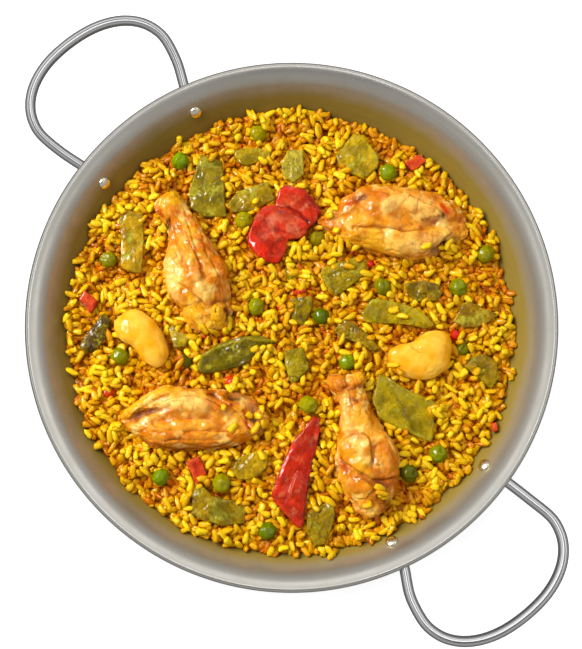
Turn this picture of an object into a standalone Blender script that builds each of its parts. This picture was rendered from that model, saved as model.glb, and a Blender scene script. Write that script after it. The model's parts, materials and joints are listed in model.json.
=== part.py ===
"""Arroz con pollo in its steel pan: saffron rice with chicken pieces, roasted red pepper, flat green beans,
butter beans and peas, in a flared 300 mm pan with two riveted wire handles.

Metres, +Z up. The origin is the middle of the pan's flat underside and +X runs out through one handle.
"""

import math
import random

import bmesh
import bpy
from mathutils import Matrix, Vector, noise
from mathutils.geometry import delaunay_2d_cdt

MM = 0.001
CLEARANCE = 0.35 * MM  # between pieces that touch

# The pan: a pressed steel sheet with a flared wall and a rolled rim.
RIM_RADIUS = 150 * MM
RIM_HEIGHT = 42 * MM
SHEET = 1.5 * MM
BEAD_RADIUS = 2 * MM
WALL_SLOPE = math.radians(52)
LIP_SLOPE = math.radians(20)
LIP_LENGTH = 0.8 * MM
FLARE_RADIUS = 18 * MM
CORNER_RADIUS = 16 * MM
PAN_SIDES = 48

# The rivets, two at each end of the pan.
RIVET_RADIUS = 135.3 * MM  # from the pan's axis, on the inside of the wall
RIVET_SPREAD = math.radians(14.4)  # either side of the handle's line
HEAD_RADIUS = 3.7 * MM
HEAD_HEIGHT = 1.8 * MM
SHANK_RADIUS = 2 * MM
TAIL_RADIUS = 3.2 * MM
TAIL_HEIGHT = 1.4 * MM
TURNED_SIDES = 8
HOLE_REACH = 8 * MM

# The wire handles: a flattened tab under each rivet, legs that pass below the rim, and a rounded grip.
TAB_THICKNESS = 2.4 * MM
TAB_RADIUS = 6 * MM
TAB_LENGTH = 8 * MM
TAB_TOP_SHARE = 0.6  # how wide the tab is where it meets the wire, as a share of its foot
TAB_GAP = 1.2 * CLEARANCE  # between the tab and the wall
WIRE_RADIUS = 3 * MM
LEG_FOOT = Vector((138.6, 35.2, 33.2)) * MM
LEG_UNDER_RIM = Vector((146, 37.4, 34)) * MM
GRIP_HALF_WIDTH = 45.4 * MM
GRIP_WIDEST = 175.5 * MM  # how far out the grip is widest
GRIP_REACH = 207 * MM
GRIP_HEIGHT = 43 * MM
GRIP_SQUARENESS = 2.2
HANDLES = {"handle_right": 0, "handle_left": math.pi}
HANDLE_SKEW = {"handle_right": math.radians(-1.3), "handle_left": math.radians(-0.3)}

# The photograph's camera: what it aims at, from how far, how high and from which side, and its focal length.
CAMERA_AIM = Vector((1.6, -1.7, 40)) * MM
CAMERA_DISTANCE = 600 * MM
CAMERA_ELEVATION = math.radians(83.5)
CAMERA_AZIMUTH = math.radians(51.2)
FOCAL_PIXELS = 1067
PHOTO_MIDDLE = (291, 324.5)

# The rice lies a little lower at one side of the pan than at the other.
RICE_LEVEL = 25 * MM
RICE_SLOPE = Vector((0.0160, -0.0190))
RICE_CROWN = 1.4 * MM
RICE_WAVE = 1.1 * MM
RICE_WAVE_LENGTH = 38 * MM
RICE_GAP = 1.5 * CLEARANCE  # between the rice and the pan
GRAIN_LENGTH = 7.2 * MM
GRAIN_RISE = 1.1 * MM
GRAIN_SPACING = 9 * MM
GRAIN_TRIES = 9000
GRAIN_END = 0.26  # how far from a grain's middle its high points are, as a share of its length
GRAIN_MARGIN = 4 * MM + 0.5 * GRAIN_SPACING  # between the wall and the outermost grains' middles
SMALL_DICE_REACH = 0.55  # how far a small bit lifts the rice and how high, as shares of its size
SMALL_DICE_RISE = 0.35
SMALL_DICE = (  # pixel and size of the small bits that lie in the rice
    ((108, 393), 6.5 * MM),
    ((300, 290), 8 * MM),
    ((231, 382), 8 * MM),
    ((457, 336), 8 * MM),
    ((496, 428), 5.5 * MM),
    ((371, 264), 5 * MM),
    ((139, 292), 7 * MM),
)

PEA_DIAMETER = 10.4 * MM
PEA_FLATNESS = 0.93
PEA_RISE = 0.1 * PEA_DIAMETER  # of its middle above the rice
PEA_SIDES = 7
PEA_ROWS = 5
PEA_PIXELS = (
    (258, 134), (180, 161), (388, 173), (108, 260), (244, 221), (317, 239), (458, 288),
    (485, 254), (382, 287), (256, 307), (321, 317), (120, 356), (347, 362), (308, 405),
    (438, 454), (409, 473), (161, 477), (222, 483), (267, 531),
)
PEA_LIFTS = {13: 3.5 * MM, 17: 2.5 * MM}  # those that lie on another piece

# Each butter bean: middle, the direction it points in, and which side its hollow is on.
BEAN_LENGTH = 37 * MM
BEAN_WIDTH = 22 * MM
BEAN_HEIGHT = 13 * MM
BEAN_BEND = 0.24
BEAN_SWELL = 0.12  # how much larger than its middle its larger end is
BEAN_RISE = 0.22 * BEAN_HEIGHT  # of its middle above the rice
BEAN_SIDES = 10
BEAN_ROWS = 8
BEANS = (((142, 340), math.radians(-50), -1), ((420, 356), math.radians(19), 1))

# Flat green beans and peppers: the pixels of their corners.
GREEN_OUTLINES = (
    ((201, 156), (222, 162), (226, 216), (205, 217), (191, 209), (190, 190)),
    ((120, 207), (132, 212), (143, 214), (144, 240), (142, 273), (130, 272), (121, 267), (121, 228)),
    ((232, 152), (258, 149), (272, 153), (266, 160), (247, 167), (239, 164)),
    ((228, 206), (237, 193), (268, 183), (275, 200), (252, 212), (234, 213)),
    ((288, 152), (303, 151), (304, 175), (293, 184), (284, 177), (281, 165)),
    ((336, 155), (353, 135), (363, 136), (379, 159), (377, 169), (364, 180), (340, 169)),
    ((320, 274), (323, 268), (357, 257), (366, 264), (365, 275), (343, 292), (335, 296), (326, 287)),
    ((287, 307), (292, 299), (311, 297), (313, 308), (304, 324), (294, 325)),
    ((405, 284), (423, 281), (438, 285), (442, 294), (437, 301), (418, 302), (408, 296)),
    (
        (361, 313), (371, 300), (383, 300), (405, 305), (420, 311), (435, 325),
        (426, 329), (404, 325), (366, 323),
    ),
    ((453, 321), (461, 306), (468, 302), (483, 309), (496, 314), (489, 322), (478, 327), (463, 328)),
    (
        (196, 370), (201, 356), (219, 344), (243, 337), (263, 337), (276, 342),
        (262, 352), (244, 365), (223, 371), (204, 374),
    ),
    ((334, 331), (344, 320), (357, 326), (368, 335), (379, 349), (371, 351), (355, 342), (340, 338)),
    ((168, 328), (174, 325), (183, 332), (189, 340), (186, 347), (175, 348)),
    ((80, 347), (92, 328), (104, 314), (111, 321), (108, 336), (100, 346), (92, 353), (85, 352)),
    ((285, 351), (302, 348), (309, 368), (292, 387), (285, 365)),
    (
        (378, 374), (388, 377), (403, 388), (438, 404), (434, 420), (431, 442),
        (416, 436), (395, 428), (379, 418), (372, 400),
    ),
    ((463, 366), (472, 357), (484, 354), (497, 363), (499, 378), (491, 389), (478, 378)),
    ((232, 469), (240, 457), (258, 450), (268, 454), (267, 467), (258, 476), (249, 480), (238, 479)),
    (
        (192, 496), (196, 487), (204, 487), (213, 496), (232, 500), (247, 507),
        (245, 523), (225, 526), (205, 521), (192, 514),
    ),
    ((307, 514), (319, 505), (332, 500), (335, 515), (331, 530), (324, 544), (315, 546), (306, 531)),
)
GREEN_THICKNESS = 4.2 * MM
GREEN_CROWN = 0.8 * MM
RED_OUTLINES = {
    "red_pepper_back": (
        (278, 194), (285, 186), (304, 191), (314, 201), (321, 212), (317, 221),
        (310, 227), (302, 218), (289, 210), (277, 205),
    ),
    "red_pepper_front": (
        (247, 240), (257, 217), (264, 209), (273, 206), (288, 211), (301, 219), (309, 229),
        (302, 240), (288, 241), (285, 256), (278, 265), (266, 263), (254, 254),
    ),
    "red_pepper_strip": (
        (313, 417), (320, 418), (319, 435), (314, 460), (309, 482), (304, 524), (297, 527),
        (280, 508), (271, 496), (276, 481), (284, 460), (293, 441), (305, 428),
    ),
}
RED_THICKNESS = 6 * MM
RED_CROWN = 1.8 * MM
SLAB_SINK = 1 * MM
SLAB_INNER_RING = 0.58  # how far out the middle ring of a flat piece lies, as a share of its outline
SLAB_RING_CROWN = 0.75  # how high that ring is, as a share of the crown
SLAB_WAVE = 1.2 * MM
SLAB_WAVE_LENGTH = 17 * MM
DICE_OUTLINES = (
    ((80, 300), (85, 291), (98, 302), (91, 314)),
    ((405, 164), (419, 155), (426, 162), (412, 172)),
    ((187, 462), (199, 456), (207, 474), (197, 485)),
)
DICE_THICKNESS = 7 * MM
DICE_SINK = 3.2 * MM

# Chicken: how deep the valley between a piece's two bones is, and stations along the piece. A station is the
# pixel of its middle, its half width in pixels, its height, and how far it sinks into the rice.
CHICKEN_SIDES = 12
CHICKEN_GROOVE_WIDTH = 0.3
CHICKEN_WAIST = 0.45  # the share of a station's height at which it is widest
CHICKEN_SQUARENESS = 0.85  # below 1, a joint is fuller than an oval
CHICKEN = {
    "chicken_drumette": (
        0,
        (
            ((170, 197), 9, 10 * MM, 2 * MM),
            ((170, 204), 16, 14 * MM, 4 * MM),
            ((176, 215), 15, 14 * MM, 4 * MM),
            ((183, 229), 16, 14 * MM, 4 * MM),
            ((187, 240), 20, 17 * MM, 5 * MM),
            ((191, 255), 26, 20 * MM, 6 * MM),
            ((195, 270), 30, 22 * MM, 7 * MM),
            ((201, 287), 30, 22 * MM, 7 * MM),
            ((208, 301), 24, 19 * MM, 7 * MM),
            ((209, 315), 24, 16 * MM, 6 * MM),
            ((211, 327), 16, 11 * MM, 4 * MM),
        ),
    ),
    "chicken_wing_right": (
        0.25,
        (
            ((322, 223), 7, 8 * MM, 3 * MM),
            ((335, 221), 17, 12 * MM, 4 * MM),
            ((350, 220), 25, 16 * MM, 5 * MM),
            ((370, 219), 32, 19 * MM, 6 * MM),
            ((390, 221), 35, 20 * MM, 6 * MM),
            ((410, 225), 36, 20 * MM, 6 * MM),
            ((430, 226), 34, 18 * MM, 6 * MM),
            ((445, 227), 27, 16 * MM, 5 * MM),
            ((456, 230), 19, 12 * MM, 4 * MM),
            ((464, 233), 9, 8 * MM, 3 * MM),
        ),
    ),
    "chicken_wing_left": (
        0.25,
        (
            ((123, 420), 6, 8 * MM, 3 * MM),
            ((135, 419), 15, 13 * MM, 4 * MM),
            ((150, 419), 26, 17 * MM, 6 * MM),
            ((170, 418), 32, 20 * MM, 7 * MM),
            ((190, 419), 31, 20 * MM, 7 * MM),
            ((210, 419), 30, 20 * MM, 7 * MM),
            ((230, 419), 27, 17 * MM, 6 * MM),
            ((248, 419), 22, 14 * MM, 5 * MM),
            ((260, 420), 14, 11 * MM, 4 * MM),
            ((267, 420), 6, 8 * MM, 3 * MM),
        ),
    ),
    "chicken_drumstick": (
        0,
        (
            ((346, 377), 18, 12 * MM, 3 * MM),
            ((347, 385), 19, 15 * MM, 4 * MM),
            ((350, 395), 14, 14 * MM, 4 * MM),
            ((354, 406), 14, 15 * MM, 4 * MM),
            ((357, 418), 17, 17 * MM, 5 * MM),
            ((360, 430), 21, 19 * MM, 6 * MM),
            ((363, 443), 28, 22 * MM, 8 * MM),
            ((366, 457), 32, 24 * MM, 10 * MM),
            ((368, 471), 31, 24 * MM, 10 * MM),
            ((370, 485), 28, 22 * MM, 9 * MM),
            ((371, 500), 21, 18 * MM, 7 * MM),
            ((370, 512), 12, 12 * MM, 4 * MM),
        ),
    ),
}

# Colour, roughness and metallic value of each material.
LOOKS = {
    "pan_steel": ((0.58, 0.57, 0.55), 0.32, 1),
    "rivet_steel": ((0.68, 0.67, 0.62), 0.25, 1),
    "handle_wire": ((0.62, 0.62, 0.63), 0.22, 1),
    "rice": ((0.90, 0.62, 0.06), 0.45, 0),
    "chicken": ((0.86, 0.56, 0.20), 0.4, 0),
    "red_pepper": ((0.66, 0.05, 0.04), 0.3, 0),
    "green_bean": ((0.34, 0.36, 0.07), 0.35, 0),
    "butter_bean": ((0.90, 0.66, 0.14), 0.4, 0),
    "pea": ((0.28, 0.46, 0.06), 0.35, 0),
}


def clear_scene():
    for old in list(bpy.data.objects):
        bpy.data.objects.remove(old)


def material(name):
    """The Principled material of this name, made once."""
    made = bpy.data.materials.get(name)
    if made is None:
        colour, roughness, metallic = LOOKS[name]
        made = bpy.data.materials.new(name)
        made.use_nodes = True
        shader = made.node_tree.nodes["Principled BSDF"]
        shader.inputs["Base Color"].default_value = (*colour, 1)
        shader.inputs["Roughness"].default_value = roughness
        shader.inputs["Metallic"].default_value = metallic
    return made


def finished_mesh(name, shell, coat):
    """The mesh of this bmesh, its faces pointing out, smooth where it is round."""
    bmesh.ops.recalc_face_normals(shell, faces=shell.faces)
    if shell.calc_volume(signed=True) < 0:
        bmesh.ops.reverse_faces(shell, faces=shell.faces)
    mesh = bpy.data.meshes.new(name)
    shell.to_mesh(mesh)
    shell.free()
    mesh.shade_smooth()
    mesh.set_sharp_from_angle(angle=math.radians(40))
    mesh.materials.append(material(coat))
    return mesh


def place(name, mesh, where=None):
    """A named object of this mesh at a position, or with a whole placing matrix."""
    made = bpy.data.objects.new(name, mesh)
    bpy.context.scene.collection.objects.link(made)
    if isinstance(where, Matrix):
        made.matrix_world = where
    elif where is not None:
        made.location = where
    return made


def as_cutter(tool):
    tool.hide_render = True
    tool.display_type = "WIRE"
    return tool


def add_boolean(target, tool, operation):
    cut = target.modifiers.new(f"{operation.lower()}_{tool.name}", "BOOLEAN")
    cut.operation = operation
    cut.object = tool


def turned(name, profile, sides, coat):
    """The mesh of a profile of (radius, height) turned round the Z axis. Its ends lie on the axis."""
    shell = bmesh.new()
    verts = [shell.verts.new((radius, 0, height)) for radius, height in profile]
    edges = [shell.edges.new(pair) for pair in zip(verts, verts[1:])]
    bmesh.ops.spin(
        shell, geom=verts + edges, cent=(0, 0, 0), axis=(0, 0, 1), angle=math.tau, steps=sides, use_merge=True
    )
    bmesh.ops.remove_doubles(shell, verts=shell.verts, dist=0.001 * MM)
    return finished_mesh(name, shell, coat)


def skinned(name, rings, coat):
    """The mesh of a skin over rings of equally many points, closed at both ends."""
    shell = bmesh.new()
    loops = [[shell.verts.new(point) for point in ring] for ring in rings]
    shell.faces.new(loops[0])
    shell.faces.new(loops[-1])
    for low, high in zip(loops, loops[1:]):
        for k in range(len(low)):
            shell.faces.new((low[k - 1], low[k], high[k], high[k - 1]))
    return finished_mesh(name, shell, coat)


def plane_height(x, y):
    """The height of the level that the rice fills the pan to, which is not quite flat on."""
    return RICE_LEVEL + RICE_SLOPE.x * x + RICE_SLOPE.y * y


def rice_height(x, y):
    """The mean height of the rice here: a little higher in the middle, gently uneven."""
    reach = min(math.hypot(x, y) / wall_radius(RICE_LEVEL), 1)
    wave = noise.noise(Vector((x, y, 0)) / RICE_WAVE_LENGTH)
    return plane_height(x, y) + RICE_CROWN * (1 - reach**4) + RICE_WAVE * wave


def spot(pixel):
    """The point of the rice's level, in plan, that the photograph shows at this pixel."""
    right = Vector((math.cos(CAMERA_AZIMUTH), math.sin(CAMERA_AZIMUTH), 0))
    away = Vector((right.y, -right.x, 0))
    back = away * math.cos(CAMERA_ELEVATION) + Vector((0, 0, math.sin(CAMERA_ELEVATION)))
    up = back.cross(right)
    eye = CAMERA_AIM + back * CAMERA_DISTANCE
    ray = right * (pixel[0] - PHOTO_MIDDLE[0]) + up * (PHOTO_MIDDLE[1] - pixel[1]) - back * FOCAL_PIXELS
    square = Vector((-RICE_SLOPE.x, -RICE_SLOPE.y, 1))
    surface = Vector((0, 0, RICE_LEVEL + RICE_CROWN))
    return (eye + ray * (square.dot(surface - eye) / square.dot(ray))).xy


def middle_of(points):
    return sum(points, Vector((0, 0))) / len(points)


def on_rice(flat, rise=0):
    """The point of the rice's surface at this place in plan, raised by rise."""
    return Vector((flat.x, flat.y, rice_height(*flat) + rise))


def slope_normal(slope):
    """In (radius, height), the unit vector square to a wall of this slope, pointing up and in."""
    return Vector((-math.sin(slope), math.cos(slope)))


def bead_middle():
    return Vector((RIM_RADIUS - BEAD_RADIUS, RIM_HEIGHT - BEAD_RADIUS))


def wall_stations():
    """(point, slope) along the pan's inside from the edge of its base to its lip, in (radius, height)."""
    lip_end = bead_middle() + slope_normal(LIP_SLOPE) * BEAD_RADIUS
    lip_start = lip_end - Vector((math.cos(LIP_SLOPE), math.sin(LIP_SLOPE))) * LIP_LENGTH
    flare = lip_start - slope_normal(LIP_SLOPE) * FLARE_RADIUS
    flare_start = flare + slope_normal(WALL_SLOPE) * FLARE_RADIUS
    corner_top = SHEET + CORNER_RADIUS * (1 - math.cos(WALL_SLOPE))
    corner_end_radius = flare_start.x - (flare_start.y - corner_top) / math.tan(WALL_SLOPE)
    corner = Vector((corner_end_radius - math.sin(WALL_SLOPE) * CORNER_RADIUS, SHEET + CORNER_RADIUS))
    stations = []
    for share in (0, 0.5, 1):
        slope = WALL_SLOPE * share
        stations.append((corner - slope_normal(slope) * CORNER_RADIUS, slope))
    for share in (0, 0.5, 1):
        slope = WALL_SLOPE + (LIP_SLOPE - WALL_SLOPE) * share
        stations.append((flare + slope_normal(slope) * FLARE_RADIUS, slope))
    return stations


def wall_radius(height):
    """The radius of the inside of the straight part of the wall at this height."""
    top, _ = wall_stations()[3]
    return top.x - (top.y - height) / math.tan(WALL_SLOPE)


def wall_height(radius):
    top, _ = wall_stations()[3]
    return top.y - (top.x - radius) * math.tan(WALL_SLOPE)


def make_pan():
    inner = wall_stations()
    outer = [point - slope_normal(slope) * SHEET for point, slope in inner]
    lip_turn = math.radians(90) + LIP_SLOPE
    sweep = math.tau - math.acos((BEAD_RADIUS - SHEET) / BEAD_RADIUS)
    steps = 6
    curl = []
    for k in range(steps + 1):
        turn = lip_turn - sweep * k / steps
        curl.append(bead_middle() + Vector((math.cos(turn), math.sin(turn))) * BEAD_RADIUS)
    inside = [point for point, _ in inner]
    profile = [Vector((0, 0)), *outer, *reversed(curl), *reversed(inside), Vector((0, SHEET))]
    return place("pan", turned("pan", profile, PAN_SIDES, "pan_steel"))


def rivet_place(turn):
    """Where the rivet at this angle sits: X along the pan's edge, Y up the wall and Z out of its inside."""
    out = Vector((math.cos(turn), math.sin(turn), 0))
    edge = Vector((-math.sin(turn), math.cos(turn), 0))
    up = Vector((0, 0, 1))
    up_wall = out * math.cos(WALL_SLOPE) + up * math.sin(WALL_SLOPE)
    inward = up * math.cos(WALL_SLOPE) - out * math.sin(WALL_SLOPE)
    frame = Matrix((edge, up_wall, inward)).transposed().to_4x4()
    frame.translation = out * RIVET_RADIUS + up * wall_height(RIVET_RADIUS)
    return frame


def tab_depth():
    """How far below the wall's inside the near face of a handle's tab lies."""
    return SHEET + TAB_GAP


def rivet_mesh():
    far = -(tab_depth() + TAB_THICKNESS + CLEARANCE)
    profile = (
        (0, CLEARANCE + HEAD_HEIGHT),
        (0.55 * HEAD_RADIUS, CLEARANCE + 0.82 * HEAD_HEIGHT),
        (0.9 * HEAD_RADIUS, CLEARANCE + 0.4 * HEAD_HEIGHT),
        (HEAD_RADIUS, CLEARANCE),
        (SHANK_RADIUS, CLEARANCE),
        (SHANK_RADIUS, far),
        (TAIL_RADIUS, far),
        (0.8 * TAIL_RADIUS, far - TAIL_HEIGHT),
        (0, far - TAIL_HEIGHT),
    )
    return turned("rivet", profile, TURNED_SIDES, "rivet_steel")


def hole_mesh():
    radius = SHANK_RADIUS + CLEARANCE
    profile = ((0, HOLE_REACH), (radius, HOLE_REACH), (radius, -HOLE_REACH), (0, -HOLE_REACH))
    return turned("rivet_hole", profile, TURNED_SIDES, "pan_steel")


def tab_mesh():
    """The flattened end of a handle's wire: a plate on the outside of the wall, round below its rivet."""
    half_top = TAB_TOP_SHARE * TAB_RADIUS
    outline = [(half_top, TAB_LENGTH), (-half_top, TAB_LENGTH)]
    steps = 6
    for k in range(steps + 1):
        around = math.pi + math.pi * k / steps
        outline.append((TAB_RADIUS * math.cos(around), TAB_RADIUS * math.sin(around)))
    rings = [[(x, y, depth) for x, y in outline] for depth in (-tab_depth(), -tab_depth() - TAB_THICKNESS)]
    return skinned("tab", rings, "handle_wire")


def handle_stops(skew):
    """Points along the wire's middle line from one tab to the other, for a handle that points along +X."""
    half = []
    for k in range(5):
        turn = math.radians(90) * k / 4
        out = GRIP_WIDEST + (GRIP_REACH - GRIP_WIDEST) * math.sin(turn) ** (2 / GRIP_SQUARENESS)
        across = GRIP_HALF_WIDTH * max(math.cos(turn), 0) ** (2 / GRIP_SQUARENESS)
        share = (out - LEG_UNDER_RIM.x) / (GRIP_REACH - LEG_UNDER_RIM.x)
        half.append(Vector((out, across, LEG_UNDER_RIM.z + (GRIP_HEIGHT - LEG_UNDER_RIM.z) * share)))
    middle = LEG_UNDER_RIM.lerp(half[0], 0.5) + Vector((0, 1.2 * MM, 0))
    half.insert(0, middle)
    grip = half + [Vector((p.x, -p.y, p.z)) for p in reversed(half[:-1])]
    skewed = Matrix.Rotation(skew, 3, "Z")
    ends = [LEG_FOOT, LEG_UNDER_RIM]
    other_ends = [Vector((p.x, -p.y, p.z)) for p in reversed(ends)]
    return ends + [skewed @ p for p in grip] + other_ends


def wire_mesh(name, stops):
    """A round wire through these points, with closed ends."""
    curve = bpy.data.curves.new(name, "CURVE")
    curve.dimensions = "3D"
    curve.bevel_depth = WIRE_RADIUS
    curve.bevel_resolution = 2
    curve.resolution_u = 2
    curve.use_fill_caps = True
    spline = curve.splines.new("BEZIER")
    spline.bezier_points.add(len(stops) - 1)
    for knot, stop in zip(spline.bezier_points, stops):
        knot.co = stop
        knot.handle_left_type = "AUTO"
        knot.handle_right_type = "AUTO"
    guide = place(name, curve)
    shell = bmesh.new()
    shell.from_mesh(bpy.data.meshes.new_from_object(guide))
    bpy.data.objects.remove(guide)
    bmesh.ops.remove_doubles(shell, verts=shell.verts, dist=0.001 * MM)
    return finished_mesh(name, shell, "handle_wire")


def make_handles_and_rivets(pan):
    rivet, hole, tab = rivet_mesh(), hole_mesh(), tab_mesh()
    number = 0
    for name, turn in HANDLES.items():
        mesh = wire_mesh(name, handle_stops(HANDLE_SKEW[name]))
        handle = place(name, mesh, Matrix.Rotation(turn, 4, "Z"))
        places = [rivet_place(turn + side * RIVET_SPREAD) for side in (1, -1)]
        for where in places:
            number += 1
            place(f"rivet_{number}", rivet, where)
            add_boolean(handle, as_cutter(place(f"tab_{number}", tab, where)), "UNION")
        for k, where in enumerate(places, number - 1):
            cutter = as_cutter(place(f"rivet_hole_{k}", hole, where))
            add_boolean(handle, cutter, "DIFFERENCE")
            add_boolean(pan, cutter, "DIFFERENCE")


def grain_spots():
    """Places evenly spread over the rice, no two nearer than the grains' spacing, each with a direction."""
    draw = random.Random(11)
    edge = wall_radius(RICE_LEVEL) - GRAIN_MARGIN
    cell = GRAIN_SPACING / math.sqrt(2)
    taken = {}
    spots = []
    for _ in range(GRAIN_TRIES):
        radius = edge * math.sqrt(draw.random())
        turn = math.tau * draw.random()
        here = Vector((radius * math.cos(turn), radius * math.sin(turn)))
        column, row = int(here.x // cell), int(here.y // cell)
        around = ((column + i, row + j) for i in range(-2, 3) for j in range(-2, 3))
        if all((taken[key] - here).length > GRAIN_SPACING for key in around if key in taken):
            taken[(column, row)] = here
            spots.append((here, math.pi * draw.random()))
    return spots


def small_dice_rise(here):
    """How far a small piece of pepper that is fused to the rice lifts it at this place."""
    rise = 0
    for pixel, size in SMALL_DICE:
        if (spot(pixel) - here).length < SMALL_DICE_REACH * size:
            rise = SMALL_DICE_RISE * size
    return rise


def rice_edge():
    """The points where the rice meets the wall, one on each of the pan's edges."""
    points = []
    for k in range(PAN_SIDES):
        turn = math.tau * k / PAN_SIDES
        out = Vector((math.cos(turn), math.sin(turn)))
        height = plane_height(*(out * wall_radius(RICE_LEVEL)))
        radius = wall_radius(height) - RICE_GAP
        points.append(Vector((radius * out.x, radius * out.y, height)))
    return points


def bump_points():
    """Two high points along each grain and a low one beside it."""
    points = []
    for here, turn in grain_spots():
        along = Vector((math.cos(turn), math.sin(turn)))
        across = Vector((-along.y, along.x))
        for flat, rise in (
            (here - along * GRAIN_END * GRAIN_LENGTH, GRAIN_RISE),
            (here + along * GRAIN_END * GRAIN_LENGTH, GRAIN_RISE),
            (here + across * GRAIN_SPACING / 2, -GRAIN_RISE),
        ):
            points.append(on_rice(flat, rise + small_dice_rise(flat)))
    return points


def make_rice():
    """The heap of rice: bumps of the grains' size on top, and the pan's shape below."""
    given = rice_edge() + bump_points()
    _, _, triangles, origins, _, _ = delaunay_2d_cdt([p.xy for p in given], [], [], 0, 0.001 * MM)
    shell = bmesh.new()
    top = [shell.verts.new(given[origin[0]]) for origin in origins]
    vert_of = {origin[0]: vert for origin, vert in zip(origins, top)}
    for corners in triangles:
        shell.faces.new([top[k] for k in corners])
    ring = [vert_of[k] for k in range(PAN_SIDES)]
    for point, slope in reversed(wall_stations()[:3]):
        inset = point + slope_normal(slope) * RICE_GAP
        lower = []
        for k in range(PAN_SIDES):
            turn = math.tau * k / PAN_SIDES
            lower.append(shell.verts.new((inset.x * math.cos(turn), inset.x * math.sin(turn), inset.y)))
        for k in range(PAN_SIDES):
            shell.faces.new((ring[k - 1], ring[k], lower[k], lower[k - 1]))
        ring = lower
    shell.faces.new(ring)
    bmesh.ops.triangulate(shell, faces=shell.faces)
    return place("rice", finished_mesh("rice", shell, "rice"))


def swollen(mesh, by):
    """A copy of a closed mesh with its surface moved out by this much."""
    copy = mesh.copy()
    for vertex, normal in zip(copy.vertices, mesh.vertex_normals):
        vertex.co += normal.vector * by
    return copy


def press_in(rice, pockets):
    """Presses the pockets' shapes into the rice, and leaves the finished mesh on it."""
    group = bpy.data.collections.new("pockets")
    bpy.context.scene.collection.children.link(group)
    for pocket in pockets:
        group.objects.link(as_cutter(pocket))
    cut = rice.modifiers.new("pockets", "BOOLEAN")
    cut.operation = "DIFFERENCE"
    cut.operand_type = "COLLECTION"
    cut.collection = group
    cut.solver = "MANIFOLD"
    graph = bpy.context.evaluated_depsgraph_get()
    pressed = bpy.data.meshes.new_from_object(rice.evaluated_get(graph))
    rice.modifiers.clear()
    rice.data = pressed
    for pocket in pockets:
        bpy.data.objects.remove(pocket)
    bpy.data.collections.remove(group)


def pea_mesh():
    """A ball, a little flattened."""
    shell = bmesh.new()
    bmesh.ops.create_uvsphere(shell, u_segments=PEA_SIDES, v_segments=PEA_ROWS, radius=PEA_DIAMETER / 2)
    bmesh.ops.scale(shell, verts=shell.verts, vec=(1, 1, PEA_FLATNESS))
    return finished_mesh("pea", shell, "pea")


def pea_pocket_mesh():
    """A cup that holds a pea at any turn: straight sides over a pointed bottom."""
    radius = PEA_DIAMETER / 2 + CLEARANCE
    around = radius / math.cos(math.pi / PEA_SIDES)
    profile = ((0, radius), (around, radius), (around, -0.45 * radius), (0, -1.1 * radius))
    return turned("pea_pocket", profile, PEA_SIDES, "rice")


def make_peas():
    mesh, pocket = pea_mesh(), pea_pocket_mesh()
    pockets = []
    for number, pixel in enumerate(PEA_PIXELS):
        where = on_rice(spot(pixel), PEA_RISE + PEA_LIFTS.get(number, 0))
        pea = place(f"pea_{number + 1:02d}", mesh, where)
        pea.rotation_euler = (0.5 * math.sin(number), 0.5 * math.cos(3 * number), number)
        pockets.append(place(f"pocket_pea_{number + 1}", pocket, where))
    return pockets


def bean_mesh(name, hollow_side):
    """A broad kidney: an egg shape, larger at one end, bent sideways."""
    shell = bmesh.new()
    bmesh.ops.create_uvsphere(shell, u_segments=BEAN_SIDES, v_segments=BEAN_ROWS, radius=1)
    for vert in shell.verts:
        along = vert.co.z
        swell = 1 + BEAN_SWELL * along
        across = vert.co.x * swell + hollow_side * BEAN_BEND * (along**2 - 0.4)
        size = Vector((BEAN_LENGTH, BEAN_WIDTH, BEAN_HEIGHT)) / 2
        vert.co = Vector((along, across, vert.co.y * swell)) * size
    return finished_mesh(name, shell, "butter_bean")


def make_butter_beans():
    pockets = []
    for number, (pixel, turn, hollow_side) in enumerate(BEANS, 1):
        name = f"butter_bean_{number}"
        mesh = bean_mesh(name, hollow_side)
        where = Matrix.Translation(on_rice(spot(pixel), BEAN_RISE))
        where @= Matrix.Rotation(turn + CAMERA_AZIMUTH, 4, "Z")
        place(name, mesh, where)
        pockets.append(place(f"pocket_{name}", swollen(mesh, CLEARANCE), where))
    return pockets


def prism_mesh(name, corners, low, high, coat):
    """An upright prism over these corners in plan."""
    return skinned(name, [[(p.x, p.y, level) for p in corners] for level in (low, high)], coat)


def slab_mesh(name, corners, middle, thickness, crown, coat):
    """A flat piece with these corners round its middle: domed a little, wavy, the same below as above."""
    shell = bmesh.new()
    face = shell.faces.new([shell.verts.new((p.x, p.y, 0)) for p in corners])
    bmesh.ops.inset_individual(shell, faces=[face], thickness=0)
    for vert in face.verts:
        vert.co = (vert.co.x * SLAB_INNER_RING, vert.co.y * SLAB_INNER_RING, SLAB_RING_CROWN * crown)
    tip = bmesh.ops.poke(shell, faces=[face])["verts"][0]
    tip.co = (0, 0, crown)
    for vert in shell.verts:
        place_in_plan = Vector((middle.x + vert.co.x, middle.y + vert.co.y, 0.1)) / SLAB_WAVE_LENGTH
        vert.co.z += SLAB_WAVE * noise.noise(place_in_plan)
    bmesh.ops.triangulate(shell, faces=shell.faces)
    raised = bmesh.ops.extrude_face_region(shell, geom=shell.faces, use_keep_orig=True)["geom"]
    upper = [part for part in raised if isinstance(part, bmesh.types.BMVert)]
    bmesh.ops.translate(shell, verts=upper, vec=(0, 0, thickness))
    return finished_mesh(name, shell, coat)


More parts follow.
